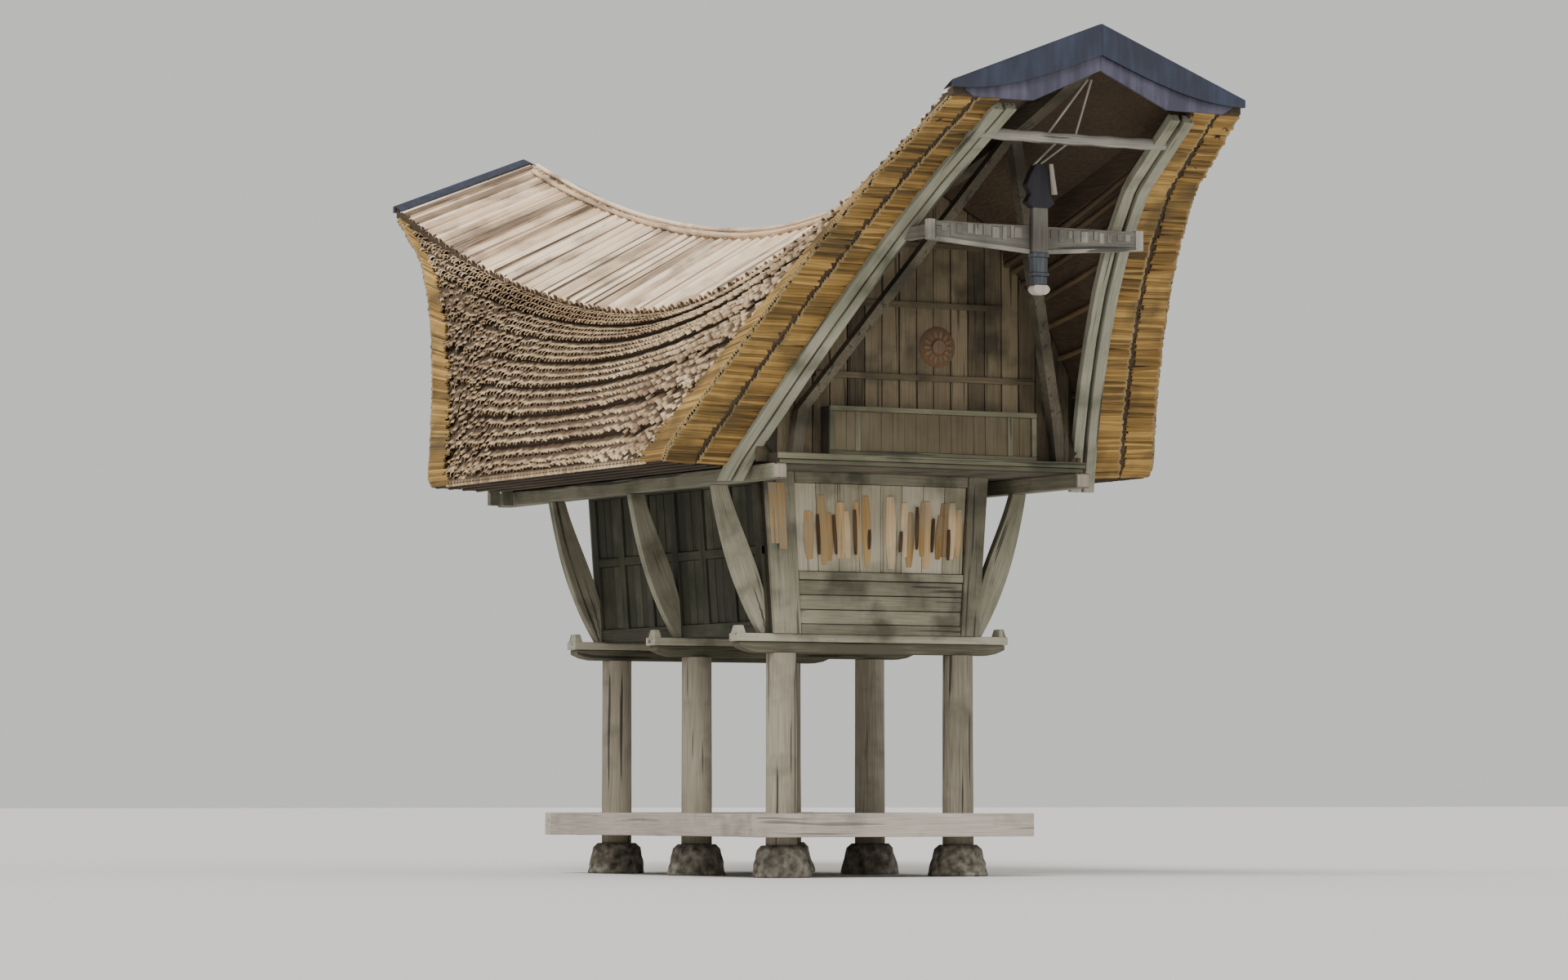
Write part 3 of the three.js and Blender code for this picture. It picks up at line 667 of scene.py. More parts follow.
# Frame of the open gable
# Two hewn barge planks up each verge, a carved tie plank held out on stubs, and a tie pole
# with thin bamboo stays above it. A carved and painted pendant hangs before the tie plank.
BARGE_PLANKS = ((-0.04, 0.068, 0.06), (0.104, 0.21, 0.044))
BARGE_HEAD, BARGE_FOOT, BARGE_SUNK = 0.03, 1.02, -0.03
BARGE_FOOT_Z = 3.65
TIE_LOW, TIE_HIGH, TIE_HALF = 5.725, 5.885, 1.13
TIE_FORWARD, TIE_SINK, TIE_THICK = 0.48, 0.08, 0.05
TIE_STROKES, TIE_STROKES_HALF, TIE_BARE_HALF = 23, 0.97, 0.13
STUB_X, STUB_IN = (1.0, 1.09), 0.025
UPPER_TIE_Z, UPPER_TIE_RADIUS, UPPER_TIE_HALF, UPPER_TIE_SAG = 6.615, 0.05, 1.09, 0.05
STAY_RADIUS = 0.011
PENDANT_HEAD = ((6.04, 0.080), (6.09, 0.15), (6.17, 0.105), (6.25, 0.15), (6.36, 0.10), (6.45, 0.045))
PENDANT_BLOCKS = ((5.34, 5.43, 0.070, 0.070), (5.43, 5.46, 0.084, 0.082), (5.46, 5.60, 0.074, 0.072),
                  (5.60, 5.64, 0.086, 0.082))
STEM_LOW, STEM_HIGH, STEM_HALF = 5.64, 6.06, 0.078
PENDANT_TIP_LOW, PENDANT_TIP_HIGH, PENDANT_TIP_HALF = 5.262, 5.345, 0.088
HORN_FOOT, HORN_LEAN, HORN_LONG, HORN_THICK = (0.135, 6.17), 0.045, 0.27, 0.030

# Hewn hardwood planks, silver-grey, with fine dark checks along the grain
barge_wood = grained(
    "weathered_hardwood_plank", "#B7B3A0", "#868573", "#4C4B38", 0.85, 7, 2, crack=0.8,
    stain=("#4B4C38", 0.6))
# Carved planks and poles, bleached by the sun and chalky
pale_wood = grained(
    "bleached_carved_hardwood", "#B3AEA4", "#827E75", "#48453D", 0.85, 7, 2, crack=0.7,
    stain=("#55524A", 0.56))
# Old matt paints on carved wood, rubbed thin: slate blue, nearly black, and chalk white
slate_paint = painted("slate_blue_painted_wood", "#3B3F45", "#686B70", 0.7)
head_paint = painted("purple_black_painted_wood", "#17151B", "#2C2932", 0.7)
white_paint = painted("chalk_white_painted_wood", "#B8AEA2", "#857D73", 0.8)


def find_down(passed):
    """The share down the slope from which something is passed."""
    low, high = 0.0, 1.0
    for _ in range(30):
        down = (low + high) / 2
        low, high = (low, down) if passed(down) else (down, high)
    return low


def verge_at(z):
    """The place on the inner edge of the verge at a given height."""
    return slope_point(1, find_down(lambda down: slope_point(1, down, 1).z <= z), 1)


def flat_on(y, end_sign):
    """Surface of a wall across the house, at a distance y from its middle."""
    return lambda x, z, out: Vector((x, end_sign * (y + out), z))


def in_plan(x, y, z):
    """The surface of the ground, for beams that are laid by their plan."""
    return Vector((x, y, z))


def lay_board(shape, surface, near, far, out, tone=None, cuts=0):
    """Adds a flat board between two corners of a surface, from one height over it to another."""
    wide, tall = abs(far[0] - near[0]), abs(far[1] - near[1])

    def place(along, across, through):
        a, b = (along, across) if wide > tall else (across, along)
        return surface(mix(near[0], far[0], a), mix(near[1], far[1], b), mix(out[0], out[1], through))

    board(shape, place, (max(wide, tall), min(wide, tall), out[1] - out[0]), cuts, tone)


tie_y = verge_at((TIE_LOW + TIE_HIGH) / 2).y
upper_y = verge_at(UPPER_TIE_Z).y
plank_y = tie_y + TIE_FORWARD
for end, end_sign in ENDS.items():
    barge = new_shape()
    for sign in SIDES.values():
        for near, far, proud in BARGE_PLANKS:
            def on_verge(along, across, through):
                down = mix(BARGE_HEAD, BARGE_FOOT, along)
                point = slope_point(1, down, 1) - Vector((mix(near, far, across), 0, 0))
                point = point + verge_out(down) * mix(BARGE_SUNK, proud, through)
                if along > 0.999:
                    point.z = BARGE_FOOT_Z
                return mirrored(point, sign, end_sign)

            board(barge, on_verge, (4.3, far - near, 0.08), cuts=27, tone=0.6)

    tie = new_shape()
    face = flat_on(plank_y, end_sign)
    # The plank, and a moulding along its lower edge, given a paler tone as a painted highlight on that edge
    for moulding, tall, outs, tone in (
            (False, 0.16, (-0.025, 0.025), 0.35), (True, 0.03, (-0.031, 0.035), 0.8)):
        def on_tie(along, across, through):
            x = mix(-TIE_HALF, TIE_HALF, along)
            low = TIE_LOW - TIE_SINK * (1 - abs(x) / TIE_HALF)
            low, high = (low - 0.012, low + 0.022) if moulding else (low, TIE_HIGH)
            return face(x, mix(low, high, across), mix(*outs, through))

        board(tie, on_tie, (2.3, tall, TIE_THICK), cuts=15, tone=tone)
    for number in range(TIE_STROKES):
        x = mix(-TIE_STROKES_HALF, TIE_STROKES_HALF, number / (TIE_STROKES - 1)) + gauss(0, 0.012)
        half = uniform(0.018, 0.040)
        low, high = TIE_LOW + uniform(0.02, 0.07), TIE_HIGH - uniform(0.008, 0.03)
        if abs(x) > TIE_BARE_HALF:
            lay_board(tie, face, (x - half, low), (x + half, high), (0.018, 0.033), uniform(0.3, 0.8))
    for sign in SIDES.values():
        near, far = sorted((sign * (TIE_HALF - 0.075), sign * (TIE_HALF + 0.004)))
        lay_board(tie, face, (near, TIE_LOW - 0.012), (far, TIE_HIGH + 0.012), (-0.03, 0.036), 0.95)
    for sign in SIDES.values():
        near, far = sorted(sign * x for x in STUB_X)
        lay_board(tie, in_plan, (near, end_sign * (tie_y - 0.03)), (far, end_sign * plank_y),
                  (TIE_LOW + STUB_IN, TIE_HIGH - STUB_IN), 0.5)

    def on_upper(x, sag=0.0):
        return Vector((x, end_sign * upper_y, UPPER_TIE_Z - sag))

    def upper_line(share):
        return on_upper(mix(-UPPER_TIE_HALF, UPPER_TIE_HALF, share), UPPER_TIE_SAG * share * (1 - share))

    ties = new_shape()
    pole(ties, upper_line, UPPER_TIE_RADIUS, 2.2, cuts=23, sides=12, knots=6, tone=0.7)
    apex = Vector((0.0, end_sign * (ROOF_HALF_LENGTH - 0.12), FASCIA_MIDDLE - 0.06))
    head = Vector((0.0, end_sign * (plank_y + 0.05), 6.43))
    for start, stop in ((apex, on_upper(0.02)), (apex - Vector((0.04, 0, 0)), on_upper(-0.28)),
                        (on_upper(0.02), head), (on_upper(-0.12), head - Vector((0.05, 0, 0)))):
        pole(ties, lambda share: start.lerp(stop, share), STAY_RADIUS, 1.0, cuts=3, sides=6, tone=0.6)

    face = flat_on(plank_y + TIE_THICK / 2, end_sign)
    pendant, pendant_head, stem, trim = new_shape(), new_shape(), new_shape(), new_shape()

    def on_pendant(along, across, through):
        spot = along * (len(PENDANT_HEAD) - 1)
        number = min(int(spot + 1e-6), len(PENDANT_HEAD) - 2)
        (low_z, low_half), (high_z, high_half) = PENDANT_HEAD[number], PENDANT_HEAD[number + 1]
        half = mix(low_half, high_half, spot - number)
        return face(mix(-half, half, across), mix(low_z, high_z, spot - number), mix(-0.01, 0.08, through))

    def on_tip(along, across, through):
        half = PENDANT_TIP_HALF * sin(pi * mix(0.12, 0.80, along)) ** 0.7
        z = mix(PENDANT_TIP_LOW, PENDANT_TIP_HIGH, along)
        return face(mix(-half, half, across), z, mix(-0.008, 0.086, through))

    def on_horn(along, across, through):
        x, z = HORN_FOOT[0] - HORN_LEAN * along, HORN_FOOT[1] + HORN_LONG * along
        thick = HORN_THICK * (1 - 0.35 * along)
        return face(x, z, 0.085 + 0.02 * along) + Vector((across * thick, end_sign * through * thick, 0))

    board(pendant_head, on_pendant, (0.45, 0.3, 0.09), cuts=4)
    for low, high, half, proud in PENDANT_BLOCKS:
        lay_board(pendant, face, (-half, low), (half, high), (-0.01, proud))
    lay_board(stem, face, (-STEM_HALF, STEM_LOW), (STEM_HALF, STEM_HIGH), (-0.01, 0.074), 0.25)
    board(trim, on_tip, (0.1, 0.15, 0.09), cuts=5)
    round_bar(trim, on_horn, (0.3, 0.03, 0.03), 8, cuts=6)
    finish_all(end, (
        ("barge_planks", barge, barge_wood, 0.005, 0),
        ("tie_plank", tie, pale_wood, 0.004, 0),
        ("upper_tie", ties, pale_wood, 0, 60),
        ("pendant", pendant, slate_paint, 0.010, 0),
        ("pendant_head", pendant_head, head_paint, 0.010, 0),
        ("pendant_stem", stem, pale_wood, 0.008, 0),
        ("pendant_trim", trim, white_paint, 0, 60)), ["gable_frame_" + end])


# Gable wall
# Upright boards nailed over a plank wall under the roof, with a carved and painted sun. Below
# them stands a boxed panel on a rail that the eave beams carry.
GABLE_Y = 2.70
GABLE_BOARDS, GABLE_LEFT, GABLE_BOARD, BOARD_GAP = 19, -1.755, 0.185, 0.006
FOOT_SET_BACK = 0.075
BATTENS = ((4.62, 1.18), (5.30, 0.82), (5.86, 0.60))
BOX_FACE, BOX_HALF = 2.87, 1.112
BOX_LOW, BOX_HIGH = 3.90, 4.34
BOX_STILE, BOX_STILES = 0.05, (-BOX_HALF, -0.84, 0.80, BOX_HALF - 0.05)
BOX_BOARDS, BOX_BOARD = 17, 0.122
RAIL_HALF, RAIL_LOW = 1.65, 3.80
SUN_X, SUN_Z, SUN_RADIUS, SUN_HUB, SUN_RAYS = 0.13, 4.94, 0.19, 0.075, 14

# Brown-grey boards in the shade of the roof, painted darker as that shade, dull, with smoky patches
shade_wood = grained(
    "sheltered_boards_painted_shade", "#8C7D63", "#665A45", "#382F22", 0.9, 8, 2, crack=0.7,
    stain=("#2E2A22", 0.58))
# Rails that the rain reaches, green-grey with moss in the grain
mossy_wood = grained(
    "mossy_hardwood_rail", "#8E8A72", "#676450", "#3B3A2B", 0.9, 8, 2, crack=0.7, stain=("#3F4030", 0.55))
# The plank walls and floor behind the boards, painted brown-black as the shade in the joints and under the
# floor, the only places where they are seen
dark_wood = grained(
    "dark_hardwood_planks", "#4B4334", "#352F25", "#1F1B15", 0.92, 9, 2, along="Z", stain=("#20201A", 0.55))
# Earth paints on the carving, faded nearly to the colour of the wood
faded_orange = painted("faded_orange_carving", "#77502F", "#594A39", 0.9, 0.48)
faded_cream = painted("faded_cream_carving", "#836D50", "#5C4D3B", 0.9, 0.48)
faded_ochre = painted("faded_ochre_carving", "#51452F", "#665D48", 0.9, 0.5)


def under_roof(x, y):
    """Height of the underside of the roof over a place in the gable wall."""
    x, y = abs(x), abs(y)
    if x < slope_point(y / ROOF_HALF_LENGTH, 0, 1).x:
        return strip_top(y / ROOF_HALF_LENGTH, x) - STRIP_THICK
    down = find_down(lambda down: slope_point(y / verge_y(down), down, 1).x >= x)
    return slope_point(y / verge_y(down), down, 1).z


coat_node(dark_wood, "gable_panel_front", "gable_panel_back", "gable_box_front", "gable_box_back")
for end, end_sign in ENDS.items():
    face = flat_on(GABLE_Y, end_sign)
    boards = new_shape()
    for number in range(GABLE_BOARDS):
        left = GABLE_LEFT + number * GABLE_BOARD + BOARD_GAP
        right = left + GABLE_BOARD - 2 * BOARD_GAP
        rise = uniform(0.014, 0.024)
        low = BOX_LOW if max(abs(left), abs(right)) > BOX_HALF else BOX_HIGH - 0.02
        # The outermost boards close the feet of the barge planks from behind
        set_back = FOOT_SET_BACK if number in (0, GABLE_BOARDS - 1) else 0.0
        low -= set_back

        def on_gable(along, across, through):
            x = mix(left, right, across)
            top = max(low + 0.05, under_roof(x, GABLE_Y + 0.03) - 0.03)
            return face(x, mix(low, top, along), through * rise - set_back)

        board(boards, on_gable, (2.0, 0.18, 0.02))
    for z, half in BATTENS:
        lay_board(boards, face, (-half, z), (half, z + 0.055), (0.02, 0.045), 0.45)

    sun, rays = new_shape(), new_shape()
    middle = face(SUN_X * -end_sign, SUN_Z, 0.026)
    for shape, radius, out, sides in ((sun, SUN_RADIUS, 0.014, 28), (rays, SUN_HUB, 0.034, 18)):
        def on_disc(along, across, through):
            wide = radius * (1 - 0.12 * along)
            return middle + Vector((across * wide, end_sign * along * out, through * wide))

        round_bar(shape, on_disc, (0.1, 0.1, 0.1), sides)
    for number in range(SUN_RAYS):
        turn = 2 * pi * number / SUN_RAYS
        aim = Vector((cos(turn), 0, sin(turn)))
        wide = Vector((-sin(turn), 0, cos(turn)))

        def on_ray(along, across, through):
            half = 0.020 * sin(pi * mix(0.2, 0.92, along))
            spot = aim * mix(SUN_HUB + 0.01, SUN_RADIUS - 0.03, along) + wide * across * half
            return middle + spot + Vector((0, end_sign * (0.012 + 0.010 * through), 0))

        round_bar(rays, on_ray, (0.1, 0.03, 0.02), 8, cuts=4)

    box, panel = new_shape(), new_shape()
    face = flat_on(BOX_FACE, end_sign)
    for half, low, high, proud, tone, cuts in (
            (BOX_HALF, BOX_HIGH - 0.04, BOX_HIGH + 0.006, 0.028, 0.55, 0),
            (BOX_HALF, BOX_LOW, BOX_LOW + 0.035, 0.024, 0.4, 0),
            (RAIL_HALF, RAIL_LOW + 0.045, BOX_LOW - 0.002, 0.028, 0.6, 9),
            (RAIL_HALF - 0.02, RAIL_LOW + 0.002, RAIL_LOW + 0.04, 0.012, 0.4, 0)):
        lay_board(box, face, (-half, low), (half, high), (-0.01, proud), tone, cuts)
    low, high = BOX_LOW + 0.037, BOX_HIGH - 0.042
    for x in BOX_STILES:
        lay_board(box, face, (x, low), (x + BOX_STILE, high), (-0.01, 0.024))
    for number in range(BOX_BOARDS):
        x = mix(-BOX_HALF + 0.055, BOX_HALF - 0.055, number / BOX_BOARDS)
        lay_board(panel, face, (x, low), (x + BOX_BOARD, high), (-0.005, uniform(0.006, 0.014)))
    finish_all(end, (
        ("gable_boards", boards, shade_wood, 0.003, 0),
        ("gable_sun", sun, faded_orange, 0, 50),
        ("gable_sun_rays", rays, faded_cream, 0, 50),
        ("gable_box_frame", box, mossy_wood, 0.004, 0),
        ("gable_box_panel", panel, faded_ochre, 0.003, 0)))


# Laths and rafters under the roof
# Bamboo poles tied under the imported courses, which show in the open gable, and the hewn
# rafters, beams and attic floor, all dark in the shade.
LATH_RADIUS, EAVE_LATH_RADIUS = 0.028, 0.016
LATHS_DOWN = (0.10, 0.24, 0.37, 0.49, 0.60, 0.71, 0.82, 0.92)
EAVE_LATHS_DEEP = (0.08, 0.28, 0.50, 0.72, 0.93)
LATH_END = 0.985
HEWN = {"Y": ("ridge_beam", "eave_purlin_left", "eave_purlin_right", "attic_floor"),
        "Z": ("inner_rafters_front", "inner_rafters_back")}

# Old bamboo that no rain reaches, smoked brown with a dull gloss
lath_cane = grained("smoked_bamboo_pole", "#8A7350", "#5E4C35", "#35291C", 0.8, 10, 1)
# Hewn beams in the dry, brown-grey and rough, with the grain along each of them
for axis, names in HEWN.items():
    coat_node(grained(
        "hewn_beam_along_" + axis.lower(), "#7C725F", "#575041", "#332E24", 0.9, 12, 4, along=axis, crack=0.6,
        stain=("#2F2C22", 0.55)), *names)
laths = new_shape()
for end_sign in ENDS.values():
    for sign in SIDES.values():
        for down in LATHS_DOWN:
            first = (GABLE_Y + 0.02) / verge_y(down)
            if first > 0.95:
                continue

            def under(share):
                point = slope_point(mix(first, LATH_END, share), down, 1)
                return mirrored(point - Vector((LATH_RADIUS, 0, 0)), sign, end_sign)

            pole(laths, under, LATH_RADIUS, 3.0, cuts=11, knots=7)
for sign in SIDES.values():
    for depth in EAVE_LATHS_DEEP:
        def under_eave(share):
            point = slope_point(mix(-LATH_END, LATH_END, share), 1, depth)
            return mirrored(point - Vector((0, 0, 0.012)), sign, 1)

        pole(laths, under_eave, EAVE_LATH_RADIUS, 4.8, cuts=15, knots=11, tone=0.0)
finish("gable_laths", laths, lath_cane, smooth=60)


# Walls of the body
# Frames of stiles and rails with boards let in, on walls that lean outwards. The two ends
# have a pale panel with carved upright strokes that were once ochre, the sides are dark.
WALL_Y = 1.79
WALL_LOW, WALL_HIGH = 2.28, 3.80
WALL_HALF_FOOT, WALL_HALF_HEAD = 1.11, 1.22
WALL_HALF_MIDDLE = (WALL_HALF_FOOT + WALL_HALF_HEAD) / 2
END_HALF, STILE_WIDE, STILE_NARROW = 1.163, 0.30, 0.20
END_RAILS = ((3.70, 3.80, 0.04, 0.55), (2.79, 2.865, 0.038, 0.7), (2.28, 2.37, 0.038, 0.45))
LOW_BOARDS, LOW_BOARD_Z, LOW_BOARD_PITCH = 3, 2.375, 0.138
PANEL_BOARDS, PANEL_LOW, PANEL_HIGH = 8, 2.87, 3.695
BROAD_STROKES, BROAD_STROKE, BROAD_PITCH = 2, 0.083, 0.086
STROKE_GROUPS = ((-0.70, -0.06, 11), (0.18, 1.02, 15))
STROKE_HALVES, STROKE_FEET, STROKE_HEADS = (0.034, 0.060), (2.90, 3.04), (3.42, 3.60)
SIDE_HALF = 1.74
SIDE_RAILS = ((3.68, 3.80, 0.04, 0.5), (2.28, 2.40, 0.04, 0.5), (3.02, 3.10, 0.032, 0.45))
SIDE_PANELS = ((2.405, 3.015), (3.105, 3.675))
SIDE_BAYS, BOARDS_IN_BAY = 6, 3
STILE, STILE_LOW, STILE_HIGH = 0.12, 2.402, 3.678

# Pale grey-green boards with washed-out paint
panel_wood = grained(
    "washed_out_painted_boards", "#C9C0AD", "#AEA48F", "#7D775F", 0.85, 9, 1, crack=0.4,
    stain=("#6C6A54", 0.6))
# Grey-brown wall boards, dark where water runs
wall_wood = grained(
    "weathered_wall_boards", "#A9A38F", "#7D7866", "#484436", 0.88, 7, 2, crack=0.7, stain=("#3A392A", 0.55))
# Side walls: dark green-brown, hardly lit; the boards are painted this dark as shade under the eaves, over a
# greenish stain
side_wood = grained(
    "mossy_wall_boards_painted_shade", "#5F5D4A", "#3D3C2F", "#211F17", 0.9, 8, 2, crack=0.7, stain=("#2B2E1E", 0.52))
# Raised carving with ochre earth paint, worn to the wood in patches
ochre_strokes = grained(
    "worn_ochre_carving", "#DCC09C", "#B0905E", "#836437", 0.85, 10, 1, crack=0.3, stain=("#948A78", 0.56))
# Cuts between the strokes, painted dark brown as their shade, with the dark paint still in them
slot_shade_and_paint = painted("dark_brown_carved_slots", "#3A2616", "#6B5238", 0.9, 0.62)


def wall_half(z):
    return mix(WALL_HALF_FOOT, WALL_HALF_HEAD, (z - WALL_LOW) / (WALL_HIGH - WALL_LOW))


def end_wall(end_sign):
    return lambda x, z, out: Vector((x * wall_half(z) / WALL_HALF_MIDDLE, end_sign * (WALL_Y + out), z))


def side_wall(sign):
    return lambda y, z, out: Vector((sign * (wall_half(z) + out), y, z))


coat_node(dark_wood, "front_wall", "back_wall", "left_wall", "right_wall", "floor")
for end, end_sign in ENDS.items():
    face = end_wall(end_sign)
    wall, panel, strokes, slots = new_shape(), new_shape(), new_shape(), new_shape()
    left, right = (STILE_WIDE, STILE_NARROW) if end_sign < 0 else (STILE_NARROW, STILE_WIDE)
    lay_board(wall, face, (-END_HALF, WALL_LOW), (-END_HALF + left, WALL_HIGH), (0, 0.045), 0.62)
    lay_board(wall, face, (END_HALF - right, WALL_LOW), (END_HALF, WALL_HIGH), (0, 0.045), 0.4)
    inner_left, inner_right = -END_HALF + left + 0.008, END_HALF - right - 0.008
    for low, high, proud, tone in END_RAILS:
        lay_board(wall, face, (inner_left, low), (inner_right, high), (0, proud), tone)
    for number in range(LOW_BOARDS):
        z = LOW_BOARD_Z + number * LOW_BOARD_PITCH
        lay_board(wall, face, (inner_left, z), (inner_right, z + 0.13), (0, 0.020 + 0.004 * number), cuts=5)
    for number in range(PANEL_BOARDS):
        x = mix(inner_left, inner_right, number / PANEL_BOARDS)
        wide = (inner_right - inner_left) / PANEL_BOARDS - 0.006
        lay_board(panel, face, (x, PANEL_LOW), (x + wide, PANEL_HIGH), (0, uniform(0.014, 0.02)))
    # Two broad strokes on the stile at the left of the front, and two groups on the panel
    outside = -END_HALF if end_sign < 0 else END_HALF - STILE_NARROW
    for number in range(BROAD_STROKES):
        x = outside + 0.022 + BROAD_PITCH * number
        lay_board(strokes, face, (x, 3.12 - 0.05 * number), (x + BROAD_STROKE, 3.69), (0.04, 0.049), cuts=5)
    for first, last, count in STROKE_GROUPS:
        for number in range(count):
            middle = mix(first, last, number / (count - 1)) + gauss(0, 0.012)
            lean = gauss(0, 0.006)
            half_width = uniform(*STROKE_HALVES)
            low, high = uniform(*STROKE_FEET), uniform(*STROKE_HEADS)
            dark = number % 3 == 1
            if dark:
                half_width, low, high = 0.020, low + 0.06, high - uniform(0.03, 0.20)

            def on_stroke(along, across, through):
                half = half_width * sin(pi * mix(0.10, 0.84, along)) ** 0.5
                x = middle + lean * (2 * along - 1) + across * half
                return face(x, mix(low, high, along), (0.028 if dark else 0.018) + 0.010 * through)

            round_bar(slots if dark else strokes, on_stroke, (0.5, 0.05, 0.02), 8, cuts=7)
    finish_all(end, (
        ("end_wall_frame", wall, wall_wood, 0.005, 0),
        ("end_wall_panel", panel, panel_wood, 0.003, 0),
        ("end_wall_strokes", strokes, ochre_strokes, 0, 50),
        ("end_wall_slots", slots, slot_shade_and_paint, 0, 50)))
for side, sign in SIDES.items():
    face = side_wall(sign)
    wall = new_shape()
    for low, high, proud, tone in SIDE_RAILS:
        lay_board(wall, face, (-SIDE_HALF, low), (SIDE_HALF, high), (0, proud), tone, cuts=9)
    stiles = [mix(-SIDE_HALF, SIDE_HALF - STILE, number / SIDE_BAYS) for number in range(SIDE_BAYS + 1)]
    for y in stiles:
        lay_board(wall, face, (y, STILE_LOW), (y + STILE, STILE_HIGH), (0, 0.036))
    for y, after in zip(stiles, stiles[1:]):
        for low, high in SIDE_PANELS:
            for number in range(BOARDS_IN_BAY):
                start = mix(y + STILE + 0.003, after - 0.003, number / BOARDS_IN_BAY)
                width = (after - y - STILE - 0.006) / BOARDS_IN_BAY - 0.005
                lay_board(wall, face, (start, low), (start + width, high), (0, uniform(0.010, 0.018)))
    finish("side_wall_boards_" + side, wall, side_wood, 0.004)


# Sills, brackets and eave beams
# Sills of a plank on a beam across the posts, with a block pegged on each end, bellied bracket
# planks that stand on them, and the long beams under the eaves with whitened ends.
ROWS = {"front": -1.69, "middle": 0.0, "back": 1.69}
SILL_HALF, SILL_LOW, SILL_HIGH, SILL_WIDE = 1.47, 2.10, 2.28, 0.20
SILL_PLANK, SILL_TAPER_FROM = 0.075, 1.30
SILL_BEAM_HALF, SILL_BEAM_TAPER_FROM = 1.44, 1.26
BLOCK_X, BLOCK_HALF_Y = (1.375, 1.462), 0.08
BRACKET_THICK, BRACKET_TOP = 0.09, 3.66
BRACKET_INNER = (1.13, 1.08, 1.42, 1.555)
BRACKET_OUTER = (1.20, 1.50, 1.62, 1.705)
EAVE_BEAM_END, EAVE_BEAM_LOW, EAVE_BEAM_HIGH = 2.88, 3.66, 3.80
EAVE_BEAM_X = (1.555, 1.705)

# Hewn hardwood beams, grey-green and rough
beam_wood = grained(
    "hewn_hardwood_beam", "#B0AB98", "#827E6B", "#4F4C3C", 0.88, 8, 3, crack=0.8, stain=("#4A4A36", 0.6))
# Thin old limewash on the beam ends, pinkish and half gone
limewash = painted("worn_limewash", "#A89A8E", "#827868", 0.9, 0.55)


def bend(points, share):
    """A place on the curve that a few numbers steer."""
    while len(points) > 1:
        points = [mix(low, high, share) for low, high in zip(points, points[1:])]
    return points[0]


for row, y in ROWS.items():
    def on_sill(along, across, through):
        x = mix(-SILL_HALF, SILL_HALF, along)
        taper = max(0.0, (abs(x) - SILL_TAPER_FROM) / (SILL_HALF - SILL_TAPER_FROM))
        half = SILL_WIDE / 2 - 0.012 * taper
        return Vector((x, y + mix(-half, half, across), mix(SILL_HIGH - SILL_PLANK, SILL_HIGH, through)))

    def on_beam_below(along, across, through):
        x = mix(-SILL_BEAM_HALF, SILL_BEAM_HALF, along)
        taper = max(0.0, (abs(x) - SILL_BEAM_TAPER_FROM) / (SILL_HALF - SILL_BEAM_TAPER_FROM))
        half = SILL_WIDE / 2 - 0.022
        low, high = SILL_LOW + 0.07 * taper ** 1.5, SILL_HIGH - SILL_PLANK - 0.003
        return Vector((x, y + mix(-half, half, across), mix(low, high, through)))

    sill = new_shape()
    board(sill, on_sill, (2.94, 0.2, 0.075), cuts=29, tone=0.85)
    # The beam under the plank takes the darkest tone, as painted shade under the plank
    board(sill, on_beam_below, (2.88, 0.16, 0.1), cuts=29, tone=0.0)
    for sign in SIDES.values():
        near, far = sorted(sign * x for x in BLOCK_X)

        def on_block(along, across, through):
            taper = 1 - 0.35 * along
            x = (near + far) / 2 + (far - near) / 2 * mix(-1, 1, across) * taper
            z = mix(SILL_HIGH - 0.01, SILL_HIGH + 0.075, along)
            return Vector((x, y + mix(-BLOCK_HALF_Y, BLOCK_HALF_Y, through) * taper, z))

        board(sill, on_block, (0.1, 0.09, 0.16), cuts=2, tone=0.85)
    finish("cross_sill_beam_" + row, sill, beam_wood, 0.008, 0, ["cross_sill_" + row])
    for side, sign in SIDES.items():
        def on_bracket(along, across, through):
            x = mix(bend(BRACKET_INNER, along), bend(BRACKET_OUTER, along), across)
            z = mix(SILL_HIGH, BRACKET_TOP, along)
            return Vector((sign * x, y + mix(-0.5, 0.5, through) * BRACKET_THICK, z))

        bracket = new_shape()
        board(bracket, on_bracket, (1.5, 0.2, 0.09), cuts=17, tone=0.6)
        spot = side + "_" + row
        finish("bracket_plank_" + spot, bracket, beam_wood, 0.008, 0, ["bracket_" + spot])
for side, sign in SIDES.items():
    beam, ends = new_shape(), new_shape()
    near, far = (sign * x for x in EAVE_BEAM_X)
    lay_board(beam, in_plan, (near, -EAVE_BEAM_END), (far, EAVE_BEAM_END),
              (EAVE_BEAM_LOW, EAVE_BEAM_HIGH), 0.4, 19)
    near, far = sorted((near + sign * 0.012, far - sign * 0.012))
    for end_sign in ENDS.values():
        lay_board(ends, flat_on(EAVE_BEAM_END, end_sign), (near, EAVE_BEAM_LOW + 0.012),
                  (far, EAVE_BEAM_HIGH - 0.012), (-0.002, 0.006))
    finish("eave_beam_hewn_" + side, beam, beam_wood, 0.01, 0, ["eave_beam_" + side])
    finish("eave_beam_ends_" + side, ends, limewash, 0.002)


# Posts and footing stones
# Thick round posts of hewn hardwood, each on a rough field stone.
POST_X, POST_LOW, POST_HIGH, POST_RADIUS = 0.96, 0.30, 2.10, 0.15
STONE_TOP, STONE_FOOT, STONE_HIGH = 0.23, 0.30, 0.30

# Round hewn posts: grey-brown, with long dark checks up the grain
post_wood = grained(
    "round_hewn_post", "#ADA593", "#8A8271", "#585142", 0.88, 10, 3, crack=0.85, stain=("#5A5645", 0.62))
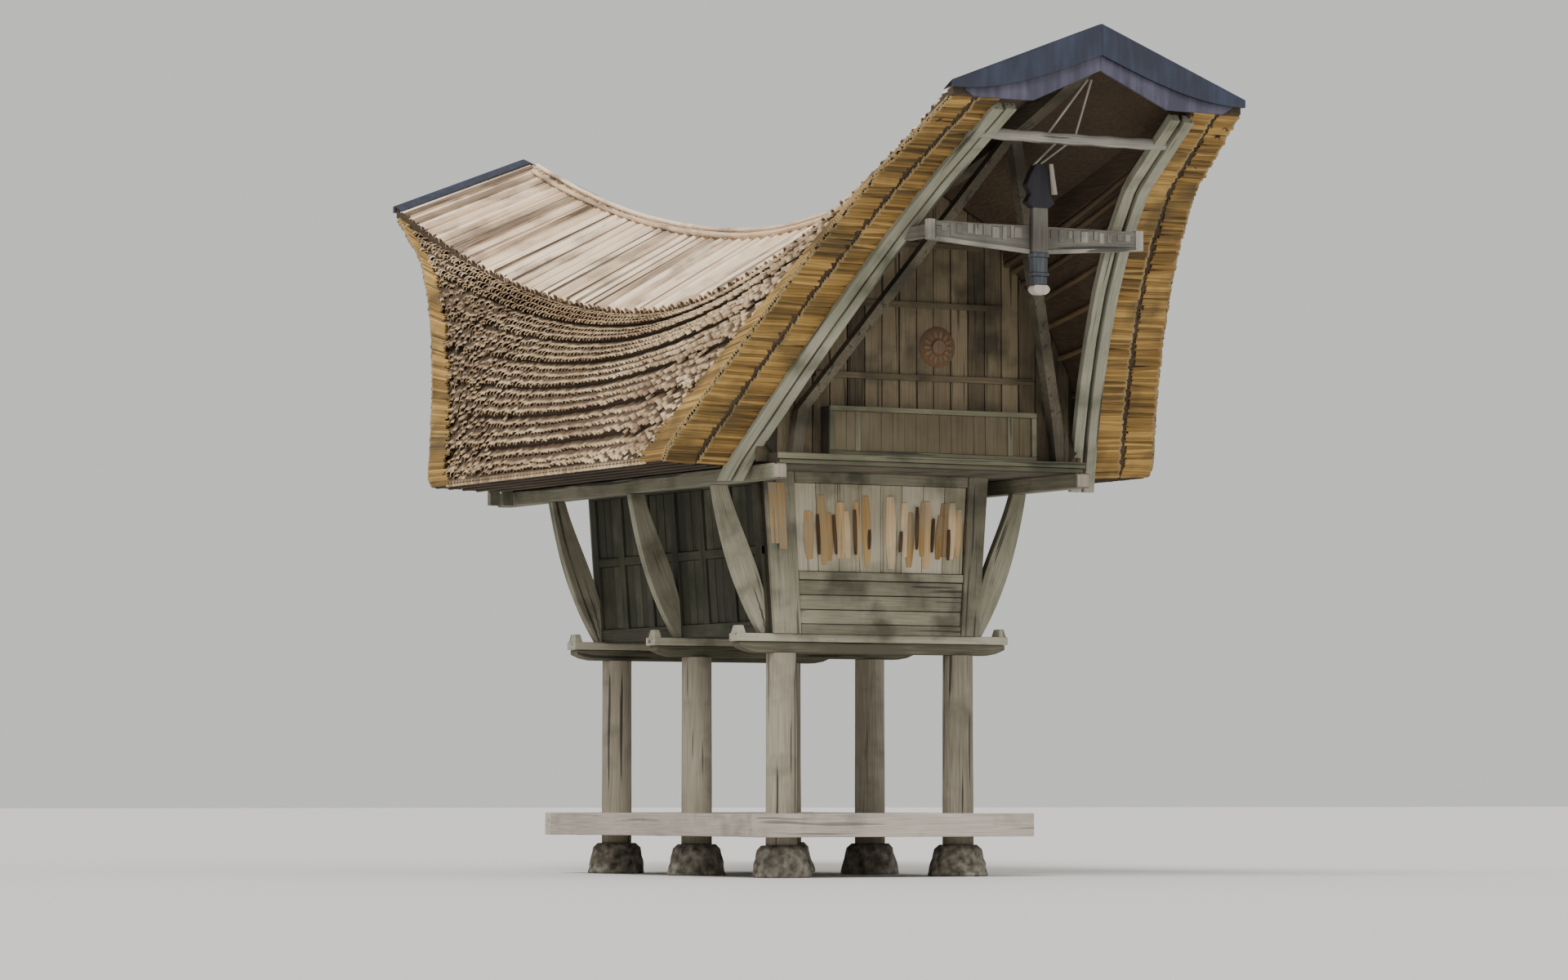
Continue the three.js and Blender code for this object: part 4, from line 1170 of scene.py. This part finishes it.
# Field stone: dark grey, rough, with pale specks of about 70 mm
field_stone = new_material("rough_field_stone", 0.95)
stone_place = add_node(field_stone, "TexCoord", output="Object")
grit = add_node(field_stone, "TexNoise", {"Vector": stone_place}, {"Scale": 14.0, "Detail": 10.0})
grit_colour = add_node(
    field_stone, "ValToRGB", {"Fac": grit}, stops=((0.3, "#3E3B34"), (0.75, "#A29C8E"), (0.5, "#756F63")))
set_surface(field_stone, grit_colour, grit, 0.9, 0.012)

for row, y in ROWS.items():
    for side, sign in SIDES.items():
        dents = Vector((sign * 7.1, y * 3.3, 0.5))
        foot = Vector((sign * POST_X, y, 0))

        def on_post(along, across, through):
            radius = POST_RADIUS * (0.995 - 0.035 * along)
            radius *= 1 - 0.03 * abs(noise.noise(Vector((across, through, along * 1.6)) * 1.4 + dents))
            return foot + Vector((across * radius, through * radius, mix(POST_LOW, POST_HIGH, along)))

        def on_stone(along, across, through):
            place = Vector((across, through, along))
            dent = 0.13 * abs(noise.noise(place * 1.7 + dents)) + 0.05 * abs(noise.noise(place * 5.1 + dents))
            spread = mix(STONE_FOOT, STONE_TOP, along) * (1 - 0.16 * (along > 0.99)) * (1 - dent)
            return foot + Vector((across * spread, through * spread, along * STONE_HIGH))

        post, stone = new_shape(), new_shape()
        spot = side + "_" + row
        round_bar(post, on_post, (1.8, 0.15, 0.15), 24, cuts=11)
        finish("round_post_" + spot, post, post_wood, 0.006, 40, ["post_" + spot])
        round_bar(stone, on_stone, (0.3, 0.3, 0.3), 22, cuts=6)
        finish("field_stone_" + spot, stone, field_stone, 0.02, 60, ["stone_" + spot])


# Sitting platform
# A frame of edge planks round three bearers, with worn deck planks laid along the house.
DECK_HALF_X, DECK_HALF_Y = 1.50, 2.20
EDGE_WIDE, EDGE_LOW_Z, DECK_Z = 0.12, 0.38, 0.60
DECK_THICK = 0.04
BEARER_HALF = 0.05
PLANKS = 14

# Worn deck wood: pale, pinkish grey and smooth from use
deck_wood = grained(
    "worn_deck_plank", "#C4BAAF", "#A1968B", "#6C6258", 0.7, 9, 1, crack=0.5, stain=("#736A5C", 0.64))
edges = new_shape()
inside_x, inside_y = DECK_HALF_X - EDGE_WIDE, DECK_HALF_Y - EDGE_WIDE
for sign in SIDES.values():
    lay_board(edges, in_plan, (-DECK_HALF_X, sign * inside_y), (DECK_HALF_X, sign * DECK_HALF_Y),
              (EDGE_LOW_Z, DECK_Z), 0.65, 9)
    lay_board(edges, in_plan, (sign * inside_x, -inside_y + 0.002), (sign * DECK_HALF_X, inside_y - 0.002),
              (EDGE_LOW_Z + 0.004, DECK_Z - 0.004), 0.5, 9)
for y in ROWS.values():
    lay_board(edges, in_plan, (-inside_x, y - BEARER_HALF), (inside_x, y + BEARER_HALF),
              (EDGE_LOW_Z, DECK_Z - DECK_THICK), 0.3)
finish("platform_edges", edges, deck_wood, 0.007, replaces=["platform_frame"])
planks = new_shape()
for number in range(PLANKS):
    wide = 2 * inside_x / PLANKS
    low = -inside_x + number * wide + 0.002
    high = DECK_Z - uniform(0, 0.003)
    lay_board(planks, in_plan, (low, -inside_y + 0.002), (low + wide - 0.004, inside_y - 0.002),
              (high - DECK_THICK, high), cuts=3)
finish("deck_planks", planks, deck_wood, 0.004, replaces=["platform_deck"])
